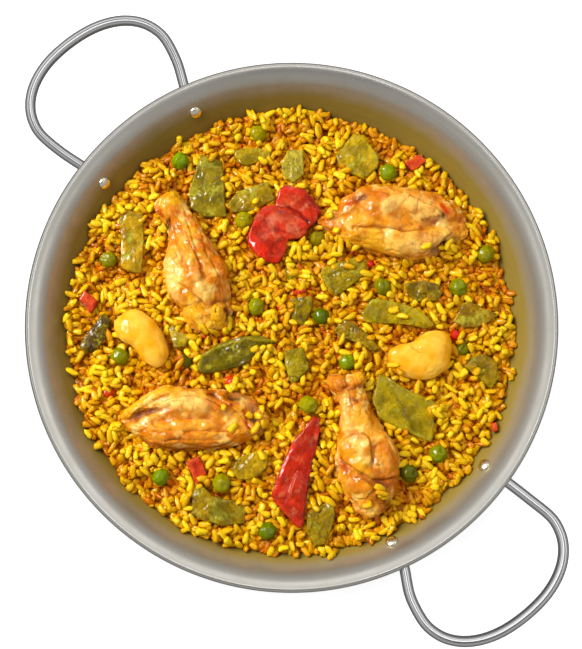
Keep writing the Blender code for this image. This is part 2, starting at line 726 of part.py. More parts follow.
def make_slab(name, outline, thickness, crown, coat):
    corners = [spot(pixel) for pixel in outline]
    middle = middle_of(corners)
    corners = [corner - middle for corner in corners]
    mesh = slab_mesh(name, corners, middle, thickness, crown, coat)
    where = on_rice(middle, -SLAB_SINK)
    place(name, mesh, where)
    low = min(vert.co.z for vert in mesh.vertices) - CLEARANCE
    wider = [corner + corner.normalized() * 2 * CLEARANCE for corner in corners]
    return place(f"pocket_{name}", prism_mesh(f"pocket_{name}", wider, low, 3 * thickness, "rice"), where)


def make_dice(name, outline):
    """A cut cube of red pepper, standing a little out of the rice."""
    corners = [spot(pixel) for pixel in outline]
    middle = middle_of(corners)
    corners = [corner - middle for corner in corners]
    mesh = prism_mesh(name, corners, 0, DICE_THICKNESS, "red_pepper")
    where = on_rice(middle, -DICE_SINK)
    place(name, mesh, where)
    return place(f"pocket_{name}", swollen(mesh, 2 * CLEARANCE), where)


def make_chicken(name, groove, stations):
    """A joint of chicken: ovals along its middle line, flatter below, with the valley between its bones."""
    middles = [spot(pixel) for pixel, *_ in stations]
    pixel_size = (spot((1, 0)) - spot((0, 0))).length
    centre = on_rice(middle_of(middles))
    rings = []
    for k, (_, half_pixels, height, sink) in enumerate(stations):
        middle = middles[k]
        along = (middles[min(k + 1, len(middles) - 1)] - middles[max(k - 1, 0)]).normalized()
        across = Vector((-along.y, along.x))
        base = rice_height(*middle) - sink
        ring = []
        for j in range(CHICKEN_SIDES):
            turn = math.tau * (j + 0.5) / CHICKEN_SIDES
            aside = math.copysign(abs(math.cos(turn)) ** CHICKEN_SQUARENESS, math.cos(turn))
            rise = math.sin(turn) * CHICKEN_WAIST
            if rise > 0:
                valley = groove * math.exp(-((aside / CHICKEN_GROOVE_WIDTH) ** 2))
                rise = math.sin(turn) * (1 - CHICKEN_WAIST) * (1 - valley)
            flat = middle + across * half_pixels * pixel_size * aside
            ring.append(Vector((flat.x, flat.y, base + height * (CHICKEN_WAIST + rise))) - centre)
        rings.append(ring)
    mesh = skinned(name, rings, "chicken")
    place(name, mesh, centre)
    return place(f"pocket_{name}", swollen(mesh, CLEARANCE), centre)


def make_toppings():
    """All that lies on the rice. Returns the pockets that it presses into the rice."""
    pockets = make_peas() + make_butter_beans()
    for name, (groove, stations) in CHICKEN.items():
        pockets.append(make_chicken(name, groove, stations))
    for name, outline in RED_OUTLINES.items():
        pockets.append(make_slab(name, outline, RED_THICKNESS, RED_CROWN, "red_pepper"))
    for number, outline in enumerate(GREEN_OUTLINES, 1):
        pockets.append(make_slab(f"green_{number:02d}", outline, GREEN_THICKNESS, GREEN_CROWN, "green_bean"))
    for number, outline in enumerate(DICE_OUTLINES, 1):
        pockets.append(make_dice(f"red_dice_{number}", outline))
    return pockets


def main():
    clear_scene()
    make_handles_and_rivets(make_pan())
    rice = make_rice()
    press_in(rice, make_toppings())


main()
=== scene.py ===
import json
import math
import random

import bmesh
import bpy
import numpy as np
from mathutils import Euler, Matrix, Vector, noise
from mathutils.bvhtree import BVHTree

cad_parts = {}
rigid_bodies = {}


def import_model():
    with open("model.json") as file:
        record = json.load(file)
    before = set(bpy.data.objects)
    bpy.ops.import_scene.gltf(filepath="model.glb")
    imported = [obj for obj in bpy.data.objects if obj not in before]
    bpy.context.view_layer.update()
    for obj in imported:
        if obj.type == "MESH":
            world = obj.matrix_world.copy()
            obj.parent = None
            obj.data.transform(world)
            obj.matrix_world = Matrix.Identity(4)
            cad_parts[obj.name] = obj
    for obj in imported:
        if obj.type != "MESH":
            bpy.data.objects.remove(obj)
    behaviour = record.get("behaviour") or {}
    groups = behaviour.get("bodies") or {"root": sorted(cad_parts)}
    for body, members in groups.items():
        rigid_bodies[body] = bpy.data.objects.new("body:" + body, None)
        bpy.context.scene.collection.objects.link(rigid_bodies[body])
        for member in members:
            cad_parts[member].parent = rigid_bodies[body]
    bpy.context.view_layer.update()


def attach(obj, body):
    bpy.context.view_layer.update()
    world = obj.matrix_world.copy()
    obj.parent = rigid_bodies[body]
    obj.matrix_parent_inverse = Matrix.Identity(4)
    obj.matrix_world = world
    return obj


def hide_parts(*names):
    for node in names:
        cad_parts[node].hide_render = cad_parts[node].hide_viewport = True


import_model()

# A pan of saffron rice with chicken joints, roasted pepper, flat green beans, butter beans and peas.
# Metres, +Z up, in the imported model's frame: the origin is the middle of the pan's underside and +X runs
# out through one handle. The sizes repeat those of the model's own construction.
MM = 0.001
TINY = 1e-9  # stands for a length of nothing where one divides

# The pan.
RIM_RADIUS = 150 * MM
RIM_HEIGHT = 42 * MM
SHEET = 1.5 * MM
BEAD_RADIUS = 2 * MM
WALL_SLOPE = math.radians(52)
LIP_SLOPE = math.radians(20)
LIP_LENGTH = 0.8 * MM
FLARE_RADIUS = 18 * MM
CORNER_RADIUS = 16 * MM
PAN_SIDES = 240
CURVE_STEPS = 10  # along each curve of its section
CURL_STEPS = 24  # round the curled rim
BASE_SHARES = (0.1, 0.4, 0.7)  # of the flat base's radius, where its rings are

# The rivets.
CLEARANCE = 0.35 * MM
RIVET_RADIUS = 135.3 * MM
RIVET_SPREAD = math.radians(14.4)
HEAD_RADIUS = 3.7 * MM
HEAD_HEIGHT = 1.8 * MM
SHANK_RADIUS = 2 * MM
TAIL_RADIUS = 3.2 * MM
TAIL_HEIGHT = 1.4 * MM
TAIL_STEPS = ((1, 0), (0.96, 0.6), (0.8, 1))  # shares of the tail's radius and height
HEAD_STEPS = 8
RIVET_SIDES = 40
RIVET_SHARP = math.radians(40)

# The handles: a round wire whose ends are hammered flat under the rivets.
TAB_THICKNESS = 2.4 * MM
TAB_RADIUS = 6 * MM
TAB_LENGTH = 8 * MM
TAB_DEPTH = -(SHEET + 1.2 * CLEARANCE + 0.5 * TAB_THICKNESS)  # of its middle, from the inside of the wall
TAB_SHARP = math.radians(50)
WIRE_RADIUS = 3 * MM
WIRE_SIDES = 28
WIRE_STEPS = 260
LEG_FOOT = Vector((138.6, 35.2, 33.2)) * MM
LEG_UNDER_RIM = Vector((146, 37.4, 34)) * MM
LEG_BEND = Vector((0, 1.2 * MM, 0))
GRIP_HALF_WIDTH = 45.4 * MM
GRIP_WIDEST = 174.2 * MM
GRIP_REACH = 205.5 * MM
GRIP_HEIGHT = 43 * MM
GRIP_SQUARENESS = 2.2
GRIP_STEPS = 6
HANDLES = {"handle_right": 0, "handle_left": math.pi}
HANDLE_SKEW = {"handle_right": math.radians(-0.7), "handle_left": math.radians(-0.2)}

# The photograph's camera.
CAMERA_AIM = Vector((1.6, -1.7, 40)) * MM
CAMERA_DISTANCE = 600 * MM
CAMERA_ELEVATION = math.radians(83.5)
CAMERA_AZIMUTH = math.radians(51.2)
FOCAL_PIXELS = 1067
PHOTO_MIDDLE = (291, 324.5)
PHOTO_WIDTH = 582
SENSOR_WIDTH = 36
FAR_LIMIT = 20

# The rice.
RICE_LEVEL = 25 * MM
RICE_SLOPE = Vector((0.0160, -0.0190))
RICE_CROWN = 1.4 * MM
RICE_WAVE = 1.1 * MM
RICE_WAVE_LENGTH = 38 * MM


# ---------------------------------------------------------------- where things are


def camera_axes():
    """The unit vectors to the photograph's right and top, and back towards the camera."""
    level = math.cos(CAMERA_ELEVATION)
    back = Vector((math.sin(CAMERA_AZIMUTH) * level, -math.cos(CAMERA_AZIMUTH) * level, math.sin(CAMERA_ELEVATION)))
    right = Vector((math.cos(CAMERA_AZIMUTH), math.sin(CAMERA_AZIMUTH), 0))
    return right, back.cross(right), back


def camera_eye():
    return CAMERA_AIM + camera_axes()[2] * CAMERA_DISTANCE


def spots(pixels):
    """In plan, the points of the rice's level that the photograph shows at these pixels."""
    right, up, back = (np.array(axis) for axis in camera_axes())
    offset = np.asarray(pixels, float) - PHOTO_MIDDLE
    rays = offset[:, :1] * right - offset[:, 1:2] * up - back * FOCAL_PIXELS
    eye = np.array(camera_eye())
    square = np.array((-RICE_SLOPE.x, -RICE_SLOPE.y, 1))
    surface = np.array((0, 0, RICE_LEVEL + RICE_CROWN))
    reach = square @ (surface - eye) / (rays @ square)
    return (eye + rays * reach[:, None])[:, :2]


def pixels_of(points):
    """The pixels of the photograph at which these points are seen."""
    right, up, back = (np.array(axis) for axis in camera_axes())
    away = np.asarray(points) - np.array(camera_eye())
    scale = FOCAL_PIXELS / -(away @ back)
    return np.stack((PHOTO_MIDDLE[0] + away @ right * scale, PHOTO_MIDDLE[1] - away @ up * scale), -1)


PIXEL = float(np.linalg.norm(np.diff(spots([(291, 324), (292, 324)]), axis=0)))  # the size of one on the rice


def plane_height(x, y):
    return RICE_LEVEL + RICE_SLOPE.x * x + RICE_SLOPE.y * y


def rice_height(x, y):
    """The mean height of the rice at a place."""
    reach = min(math.hypot(x, y) / wall_radius(RICE_LEVEL), 1)
    wave = noise.noise(Vector((x, y, 0)) / RICE_WAVE_LENGTH)
    return plane_height(x, y) + RICE_CROWN * (1 - reach**4) + RICE_WAVE * wave


def slope_normal(slope):
    return Vector((-math.sin(slope), math.cos(slope)))


def bead_middle():
    return Vector((RIM_RADIUS - BEAD_RADIUS, RIM_HEIGHT - BEAD_RADIUS))


def wall_stations(steps):
    """(point, slope) along the inside of the pan, each of its two curves in this many steps."""
    lip_end = bead_middle() + slope_normal(LIP_SLOPE) * BEAD_RADIUS
    lip_start = lip_end - Vector((math.cos(LIP_SLOPE), math.sin(LIP_SLOPE))) * LIP_LENGTH
    flare = lip_start - slope_normal(LIP_SLOPE) * FLARE_RADIUS
    flare_start = flare + slope_normal(WALL_SLOPE) * FLARE_RADIUS
    corner_top = SHEET + CORNER_RADIUS * (1 - math.cos(WALL_SLOPE))
    corner_end_radius = flare_start.x - (flare_start.y - corner_top) / math.tan(WALL_SLOPE)
    corner = Vector((corner_end_radius - math.sin(WALL_SLOPE) * CORNER_RADIUS, SHEET + CORNER_RADIUS))
    stations = []
    for k in range(steps + 1):
        slope = WALL_SLOPE * k / steps
        stations.append((corner - slope_normal(slope) * CORNER_RADIUS, slope))
    for k in range(steps + 1):
        slope = WALL_SLOPE + (LIP_SLOPE - WALL_SLOPE) * k / steps
        stations.append((flare + slope_normal(slope) * FLARE_RADIUS, slope))
    return stations


WALL_TOP = wall_stations(1)[2][0]  # the upper end of the wall's straight part


def wall_radius(height):
    return WALL_TOP.x - (WALL_TOP.y - height) / math.tan(WALL_SLOPE)


def wall_height(radius):
    return WALL_TOP.y - (WALL_TOP.x - radius) * math.tan(WALL_SLOPE)


# ---------------------------------------------------------------- making meshes


def srgb(red, green, blue):
    """A colour as read off a screen, 0 to 255, as the shader takes it."""
    return tuple((c / 255 / 12.92) if c < 11 else ((c / 255 + 0.055) / 1.055) ** 2.4 for c in (red, green, blue))


def through(knots, count, closed=False):
    """Rows evenly spread along a smooth curve through the knots, whatever their columns hold."""
    knots = np.asarray(knots, float)
    last = len(knots) if closed else len(knots) - 1
    place = np.linspace(0, last, count, endpoint=not closed)
    step = np.minimum(place.astype(int), last - 1)
    share = (place - step)[:, None]

    def knot(k):
        return knots[k % len(knots)] if closed else knots[np.clip(k, 0, len(knots) - 1)]

    a, b, c, d = knot(step - 1), knot(step), knot(step + 1), knot(step + 2)
    return b + 0.5 * share * (c - a + share * (2 * a - 5 * b + 4 * c - d + share * (3 * (b - c) + d - a)))


def round_turn(count):
    """Angles evenly spread over a full turn."""
    return np.linspace(0, math.tau, count, endpoint=False)


def lofted(rings):
    """(points, faces) of a skin over closed rings, with a pole at each end."""
    rings = np.asarray(rings)
    count, sides, _ = rings.shape
    points = np.vstack((rings.reshape(-1, 3), rings[0].mean(0), rings[-1].mean(0)))
    index = np.arange(count * sides).reshape(count, sides)
    beside = np.roll(index, -1, 1)
    quads = np.stack((index[:-1], beside[:-1], beside[1:], index[1:]), -1).reshape(-1, 4)
    faces = quads.tolist()
    for ring, beside_ring, pole in ((index[0], beside[0], -2), (index[-1], beside[-1], -1)):
        tip = len(points) + pole
        order = (1, -1)[pole == -1]
        faces += [(tip, int(b), int(a))[::order] for a, b in zip(ring, beside_ring)]
    return points, faces


def evenly(curve, count):
    """Points evenly spaced along a closed curve."""
    closed = np.vstack((curve, curve[:1]))
    reach = np.append(0, np.cumsum(np.linalg.norm(np.diff(closed, axis=0), axis=1)))
    place = np.linspace(0, reach[-1], count, endpoint=False)
    return np.stack([np.interp(place, reach, column) for column in closed.T], -1)


def plan_outline(pixels, count, straightness):
    """Points in plan along an outline given by the pixels of its corners: straight stretches, or rounded off."""
    corners = spots(pixels)
    closed = np.vstack((corners, corners[:1]))
    place = np.linspace(0, len(corners), 4 * count, endpoint=False)
    straight = np.stack([np.interp(place, np.arange(len(closed)), column) for column in closed.T], -1)
    return evenly(straightness * straight + (1 - straightness) * through(corners, 4 * count, closed=True), count)


def facing_out(points, faces):
    """A closed shape's faces, turned to look outwards."""
    points = np.asarray(points)
    corners = np.array([(face[0], b, c) for face in faces for b, c in zip(face[1:], face[2:])])
    first, second, third = (points[column] for column in corners.T)
    return faces if (first * np.cross(second, third)).sum() > 0 else [face[::-1] for face in faces]


def make_piece(name, points, faces, coat, tones=None):
    """A smooth closed piece, its faces pointing out, with a colour for each point where given."""
    mesh = bpy.data.meshes.new(name)
    mesh.from_pydata(points, [], faces)
    shell = bmesh.new()
    shell.from_mesh(mesh)
    bmesh.ops.recalc_face_normals(shell, faces=shell.faces)
    if shell.calc_volume(signed=True) < 0:
        bmesh.ops.reverse_faces(shell, faces=shell.faces)
    shell.to_mesh(mesh)
    shell.free()
    mesh.shade_smooth()
    mesh.materials.append(coat)
    if tones is not None:
        layer = mesh.color_attributes.new("tone", "FLOAT_COLOR", "POINT")
        layer.data.foreach_set("color", np.column_stack((tones, np.ones(len(tones)))).ravel())
    piece = bpy.data.objects.new(name, mesh)
    bpy.context.scene.collection.objects.link(piece)
    return piece


def finish(piece, slot, *nodes):
    """Ties a piece to the pan's body, and hides the nodes that it stands for. Its slot is not used."""
    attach(piece, "root")
    if nodes:
        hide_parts(*nodes)


def ripple(points, length, seed=0):
    """Smooth noise between -1 and 1 at each point, in waves of about this length."""
    shift = Vector((seed * 7.3, seed * 3.1, seed * 5.7))
    return np.array([noise.noise(Vector(p) / length + shift) for p in points])


def ripples(points, *waves):
    """Smooth noise summed from waves, each given by its height, its length in mm and its seed."""
    return sum(height * ripple(points, length * MM, seed) for height, length, seed in waves)


def normals_of(points, faces):
    """The outward normal at each point."""
    mesh = bpy.data.meshes.new("normals")
    mesh.from_pydata(points, [], faces)
    normals = np.empty(len(points) * 3)
    mesh.vertex_normals.foreach_get("vector", normals)
    bpy.data.meshes.remove(mesh)
    normals = normals.reshape(-1, 3)
    outward = ((points - points.mean(0)) * normals).sum(1).mean()
    return normals * (1 if outward > 0 else -1)


def beside_path(places, path):
    """How far each place is from a path or a point, on which side of it, and how far along it from an end."""
    path = np.asarray(path, float)
    nearest = np.full(len(places), np.inf)
    side = np.zeros(len(places))
    along = np.zeros(len(places))
    passed = 0.0
    for start, end in zip(path, path[1:] if len(path) > 1 else path):
        run = end - start
        length = math.hypot(*run)
        share = np.clip((places - start) @ run / max(length, TINY) ** 2, 0, 1)
        away = places - start - share[:, None] * run
        distance = np.linalg.norm(away, axis=1)
        closer = distance < nearest
        nearest = np.where(closer, distance, nearest)
        side = np.where(closer, np.sign(run[0] * away[:, 1] - run[1] * away[:, 0]), side)
        along = np.where(closer, passed + share * length, along)
        passed += length
    return nearest, side, np.minimum(along, passed - along)


def upward_share(normals):
    """1 where a surface looks up, 0 where it looks well down."""
    return np.clip(normals[:, 2] * 2.5 + 0.3, 0, 1)


def overlapped(points, faces, tones, flaps):
    """Lets a piece's skin lie over itself: higher on the right of a flap's path, with a painted highlight along its
    raised edge and painted shade along its foot on the left.
    """
    normals = normals_of(points, faces)
    upper = upward_share(normals)
    wander = np.stack((ripple(points, 6 * MM, 13), ripple(points, 6 * MM, 14)), -1)
    places = pixels_of(points) + FLAP_WANDER * wander
    moved = points.copy()
    for path, rise in flaps:
        distance, side, along = beside_path(places, path)
        fading = upper * np.clip(along / FLAP_ENDS, 0, 1)
        step = 1 / (1 + np.exp(-side * distance / FLAP_EDGE))
        shape = step * np.exp(-distance / FLAP_REACH) - (1 - step) * 0.5 * np.exp(-distance / FLAP_FOOT)
        moved += normals * (shape * rise * MM * fading)[:, None]
        # A painted highlight along the raised side of the flap's edge, and painted shade along its lower side.
        rim = np.exp(-((distance / FLAP_RIM) ** 2)) * fading
        higher = step if rise > 0 else 1 - step
        tones = tones * (1 + rim * np.where(higher > 0.5, FLAP_LIGHT, -FLAP_SHADE))[:, None]
    return moved, tones


def creases(points, length, width, seed):
    """1 along wandering lines, about this far apart, and less to either side of them."""
    return np.exp(-((ripple(points, length, seed) / width) ** 2))


def marked(points, faces, tones, marks):
    """Raises or sinks each mark of a piece along its path in the photograph, and colours it: with stains, and with
    painted shade in its hollows.
    """
    normals = normals_of(points, faces)
    upper = upward_share(normals)
    places = pixels_of(points)
    wander = np.stack((ripple(points, 5 * MM, 3), ripple(points, 5 * MM, 4)), -1)
    moved = points.copy()
    for path, width, rise, colour, strength in marks:
        distance, _, _ = beside_path(places + wander * MARK_WANDER * width, path)
        nearness = np.exp(-((distance / width) ** 2)) * upper
        moved += normals * (nearness * rise * MM)[:, None]
        tones = tinted(tones, PALETTE[colour], strength * nearness)
    return moved, tones


def as_photographed(name, points, faces, tones):
    """Gives a piece the marks and flaps that the photograph shows on it."""
    points, tones = marked(points, faces, tones, MARKS.get(name, ()))
    return overlapped(points, faces, tones, FLAPS.get(name, ()))


def tinted(tones, colour, weights):
    """Tones drawn towards a colour, by a weight for each."""
    weights = np.clip(weights, 0, 1)[:, None]
    return np.asarray(tones) * (1 - weights) + np.array(colour) * weights


def between(first, second, share):
    """A colour part of the way from one to another."""
    return np.array(first) * (1 - share) + np.array(second) * share


# ---------------------------------------------------------------- shader groups and materials


def add_node(tree, kind, values=None, **settings):
    """A node with its settings, its inputs set to values or linked to sockets."""
    made = tree.nodes.new(kind)
    for key, value in settings.items():
        setattr(made, key, value)
    for key, value in (values or {}).items():
        if isinstance(value, bpy.types.NodeSocket):
            tree.links.new(value, made.inputs[key])
        else:
            made.inputs[key].default_value = value
    return made


def add(tree, kind, values=None, **settings):
    """A shader node, made as add_node does."""
    return add_node(tree, "ShaderNode" + kind, values, **settings)


def reckoned(tree, operation, *values):
    """The outcome of a sum on numbers or sockets."""
    return add(tree, "Math", dict(enumerate(values)), operation=operation).outputs[0]


def ranged(tree, value, start, end, low=0.0, high=1.0, **settings):
    """A value's place between a start and an end, turned into one between two levels."""
    values = {"Value": value, "From Min": start, "From Max": end, "To Min": low, "To Max": high}
    return add(tree, "MapRange", values, **settings).outputs[0]


def new_group(name, takes, gives, family="Shader"):
    """An empty group of nodes: its tree, its inputs and its outputs."""
    tree = bpy.data.node_groups.new(name, family + "NodeTree")
    for label, kind, *value in takes:
        socket = tree.interface.new_socket(label, in_out="INPUT", socket_type="NodeSocket" + kind)
        if value:
            socket.default_value = value[0]
    for label, kind in gives:
        tree.interface.new_socket(label, in_out="OUTPUT", socket_type="NodeSocket" + kind)
    return tree, tree.nodes.new("NodeGroupInput").outputs, tree.nodes.new("NodeGroupOutput").inputs


def noise_field(tree, size, detail=3, roughness=0.55, coordinates=None):
    """Noise on the piece's own coordinates, in blotches of this size."""
    if coordinates is None:
        coordinates = add(tree, "TexCoord").outputs["Object"]
    scale = reckoned(tree, "DIVIDE", 1.0, size)
    values = {"Vector": coordinates, "Scale": scale, "Detail": detail, "Roughness": roughness}
    return add(tree, "TexNoise", values).outputs["Fac"]


def mixed(tree, share, first, second, blend="MIX"):
    """Two colours mixed by a share."""
    return add(tree, "Mix", {0: share, 6: first, 7: second}, data_type="RGBA", blend_type=blend).outputs[2]


def ramp_of(tree, place, stops):
    """A ramp of colours through (place, colour) stops."""
    ramp = add(tree, "ValToRGB", {"Fac": place})
    for position, _ in stops[2:]:
        ramp.color_ramp.elements.new(position)
    for element, (position, colour) in zip(ramp.color_ramp.elements, stops):
        element.position = position
        element.color = (*colour, 1)
    return ramp.outputs["Color"]


def blotches_group():
    """Colour that darkens in soft blotches and fine specks."""
    takes = (
        ("Tone", "Color", (0.8, 0.8, 0.8, 1)),
        ("Stain", "Color", (0.7, 0.6, 0.5, 1)),
        ("Size", "Float", 6 * MM),
        ("Amount", "Float", 0.6),
    )
    tree, given, out = new_group("soft_blotches", takes, (("Color", "Color"),))
    fine_size = reckoned(tree, "MULTIPLY", given["Size"], 0.2)
    both = reckoned(tree, "ADD", noise_field(tree, given["Size"]), noise_field(tree, fine_size, 2))
    share = reckoned(tree, "MULTIPLY", ranged(tree, both, 0.85, 1.25), given["Amount"])
    stained = mixed(tree, 1.0, given["Tone"], given["Stain"], "MULTIPLY")
    tree.links.new(mixed(tree, share, given["Tone"], stained), out["Color"])
    return tree


def sheen_group():
    """Roughness that is lower in wet patches, and how thick the juice lies there."""
    takes = (("Size", "Float", 5 * MM), ("Dry", "Float", 0.5), ("Wet", "Float", 0.2))
    tree, given, out = new_group("wet_sheen", takes, (("Roughness", "Float"), ("Juice", "Float")))
    mask = ranged(tree, noise_field(tree, given["Size"], 2), 0.38, 0.62)
    rough = ranged(tree, mask, 0.0, 1.0, given["Dry"], given["Wet"])
    tree.links.new(rough, out["Roughness"])
    tree.links.new(mask, out["Juice"])
    return tree


def pebbles_group():
    """The height of fine relief: small rounded bumps over a finer grain."""
    tree, given, out = new_group("pebbles", (("Size", "Float", 2 * MM),), (("Height", "Float"),))
    coordinates = add(tree, "TexCoord").outputs["Object"]
    scale = reckoned(tree, "DIVIDE", 1.0, given["Size"])
    bumps = add(tree, "TexVoronoi", {"Vector": coordinates, "Scale": scale}, feature="SMOOTH_F1").outputs["Distance"]
    grain = noise_field(tree, reckoned(tree, "MULTIPLY", given["Size"], 0.4), 2)
    tree.links.new(reckoned(tree, "SUBTRACT", grain, bumps), out["Height"])
    return tree


def brushing_group():
    """Fine lines that run round the pan's axis: a height, and a shade from line to line."""
    takes = (("Line", "Float", 0.25 * MM),)
    tree, given, out = new_group("round_brushing", takes, (("Height", "Float"), ("Shade", "Float")))
    place = add(tree, "SeparateXYZ", {"Vector": add(tree, "TexCoord").outputs["Object"]})
    flat = add(tree, "CombineXYZ", {"X": place.outputs["X"], "Y": place.outputs["Y"]}).outputs[0]
    radius = add(tree, "VectorMath", {0: flat}, operation="LENGTH").outputs["Value"]
    around = add(tree, "VectorMath", {0: flat}, operation="NORMALIZE").outputs["Vector"]
    lines = reckoned(tree, "ADD", radius, place.outputs["Z"])
    count = reckoned(tree, "DIVIDE", lines, given["Line"])
    turn = add(tree, "VectorMath", {0: around, 3: 2.5}, operation="SCALE").outputs["Vector"]
    rise = add(tree, "CombineXYZ", {"Z": count}).outputs[0]
    coordinates = add(tree, "VectorMath", {0: turn, 1: rise}, operation="ADD").outputs["Vector"]
    fine = noise_field(tree, 1.0, 2, 0.6, coordinates)
    slow = add(tree, "VectorMath", {0: coordinates, 1: (1.0, 1.0, 0.06)}, operation="MULTIPLY").outputs["Vector"]
    broad = noise_field(tree, 1.0, 3, 0.6, slow)
    tree.links.new(fine, out["Height"])
    tree.links.new(broad, out["Shade"])
    return tree


# Each food's finish: how much light glows through it, its stain, the size of its blotches and their strength, its
# roughness where dry and where wet, and the size and depth of its fine relief. The sizes are in mm.
FOOD_FINISHES = {
    "roast_skin": (0.12, (0.86, 0.64, 0.3), 5, 0.45, 0.36, 0.14, 1.8, 0.4),
    "green_flesh": (0.05, (0.72, 0.68, 0.3), 3, 0.6, 0.3, 0.1, 1.4, 0.34),
    "red_flesh": (0.08, (0.7, 0.42, 0.3), 2.5, 0.7, 0.36, 0.12, 1.2, 0.3),
    "bean_skin": (0.2, (0.9, 0.78, 0.4), 3.4, 0.5, 0.3, 0.12, 2.5, 0.13),
    "pea_skin": (0.1, (0.75, 0.8, 0.4), 3, 0.5, 0.26, 0.1, 1.6, 0.1),
}
CLEAR_FACING = (0.16, 0.55)  # how far a surface turns away while its juice loses its gloss
ASLANT_JUICE = 0.06  # what is left of it beyond
RICE_FINISH = ((0.88, 0.7, 0.3), 3, 0.5, 0.42, 0.16, 1.2, 0.1)
RICE_SHADES = ((0.0, srgb(142, 54, 0)), (0.3, srgb(190, 102, 0)), (0.6, srgb(216, 156, 0)), (1.0, srgb(244, 208, 24)))
BED_FINISH = ((0.8, 0.6, 0.2), 4, 0.7, 0.5, 0.2, 2, 0.6)
BED_TONE = srgb(214, 130, 0)

BLOTCHES = blotches_group()
SHEEN = sheen_group()
PEBBLES = pebbles_group()
BRUSHING = brushing_group()


def new_material(name, **constants):
    """A Principled material with its constant values set. Returns it, its tree and its shader."""
    made = bpy.data.materials.new(name)
    made.use_nodes = True
    shader = made.node_tree.nodes["Principled BSDF"]
    for label, value in constants.items():
        shader.inputs[label.replace("_", " ")].default_value = value
    return made, made.node_tree, shader


def surface(tree, shader, tone, stain, size, amount, dry, wet, pebble, depth):
    """Dresses a food shader: blotched colour, wet patches and fine relief. Its sizes are in mm."""
    link = tree.links.new
    blotched = {"Tone": tone, "Stain": (*stain, 1), "Size": size * MM, "Amount": amount}
    link(add(tree, "Group", blotched, node_tree=BLOTCHES).outputs["Color"], shader.inputs["Base Color"])
    sheen = add(tree, "Group", {"Size": size * MM, "Dry": dry, "Wet": wet}, node_tree=SHEEN)
    link(sheen.outputs["Roughness"], shader.inputs["Roughness"])
    facing = add(tree, "LayerWeight", {"Blend": 0.5}).outputs["Facing"]
    clear = ranged(tree, facing, *CLEAR_FACING, 1.0, ASLANT_JUICE)
    link(reckoned(tree, "MULTIPLY", sheen.outputs["Juice"], clear), shader.inputs["Coat Weight"])
    relief = add(tree, "Group", {"Size": pebble * MM}, node_tree=PEBBLES).outputs["Height"]
    bump = add(tree, "Bump", {"Height": relief, "Distance": depth * MM, "Strength": 0.8})
    link(bump.outputs["Normal"], shader.inputs["Normal"])


def food(name, glow, *finish_values):
    """A food's material: its points' own tone, blotched, moist and finely uneven."""
    made, tree, shader = new_material(
        name, Subsurface_Weight=glow, Subsurface_Radius=(1.0, 0.5, 0.2), Subsurface_Scale=2 * MM,
        Coat_Roughness=0.05, Coat_IOR=1.38, Specular_IOR_Level=0.03,
    )
    tone = add(tree, "Attribute", attribute_name="tone").outputs["Color"]
    surface(tree, shader, tone, *finish_values)
    return made


def rice_material():
    """Saffron grains, each of its own shade between amber and pale yellow."""
    made, tree, shader = new_material(
        "saffron_rice", Subsurface_Weight=0.25, Subsurface_Radius=(1.0, 0.6, 0.1), Subsurface_Scale=1.5 * MM,
        Coat_Roughness=0.08, Coat_IOR=1.29, Specular_IOR_Level=0.15, Specular_Tint=(1, 0.8, 0.35, 1),
    )
    shade = add(tree, "Attribute", attribute_name="shade").outputs["Fac"]
    surface(tree, shader, ramp_of(tree, shade, RICE_SHADES), *RICE_FINISH)
    return made


def rice_bed_material():
    """The packed, oily rice below the loose grains."""
    made, tree, shader = new_material("rice_bed", Coat_Roughness=0.15, Coat_IOR=1.3, Specular_IOR_Level=0.05)
    surface(tree, shader, (*BED_TONE, 1), *BED_FINISH)
    return made


def steel(name, colour, roughness, line, depth, film, film_levels):
    """Steel brushed round the pan's axis, with a film of oil inside that fades out between two heights."""
    made, tree, shader = new_material(name, Specular_IOR_Level=0.2)
    lines = add(tree, "Group", {"Line": line}, node_tree=BRUSHING)
    dark = tuple(0.82 * c for c in colour)
    tone = mixed(tree, lines.outputs["Shade"], (*dark, 1), (*colour, 1))
    height = add(tree, "SeparateXYZ", {"Vector": add(tree, "TexCoord").outputs["Object"]}).outputs["Z"]
    uneven = reckoned(tree, "MULTIPLY", noise_field(tree, 12 * MM), 4 * MM)
    level = reckoned(tree, "ADD", height, uneven)
    low, high = (value + 2 * MM for value in film_levels)
    inside = add(tree, "Attribute", attribute_name="inside").outputs["Fac"]
    share = ranged(tree, level, low, high, inside, 0.0, interpolation_type="SMOOTHSTEP")
    tree.links.new(mixed(tree, share, tone, (*film, 1), "MULTIPLY"), shader.inputs["Base Color"])
    thick = reckoned(tree, "MULTIPLY", share, share)
    tree.links.new(ranged(tree, thick, 0.0, 1.0, 1.0, 0.5), shader.inputs["Metallic"])
    rough = ranged(tree, lines.outputs["Shade"], 0.3, 0.7, roughness + 0.05, roughness - 0.05)
    tree.links.new(reckoned(tree, "MULTIPLY_ADD", share, 0.25, rough), shader.inputs["Roughness"])
    bump = add(tree, "Bump", {"Height": lines.outputs["Height"], "Distance": depth, "Strength": 0.5})
    tree.links.new(bump.outputs["Normal"], shader.inputs["Normal"])
    return made


def polished(name, colour, roughness):
    """Polished steel, with faint smears."""
    made, tree, shader = new_material(name, Metallic=1.0)
    smears = noise_field(tree, 9 * MM, 4)
    tone = mixed(tree, smears, (*(0.85 * c for c in colour), 1), (*colour, 1))
    tree.links.new(tone, shader.inputs["Base Color"])
    rough = ranged(tree, smears, 0.0, 1.0, roughness * 0.6, roughness * 1.5)
    tree.links.new(rough, shader.inputs["Roughness"])
    fine = noise_field(tree, 0.6 * MM, 2)
    bump = add(tree, "Bump", {"Height": fine, "Distance": 0.02 * MM, "Strength": 0.4})
    tree.links.new(bump.outputs["Normal"], shader.inputs["Normal"])
    return made


# ---------------------------------------------------------------- pan, rivets and handles


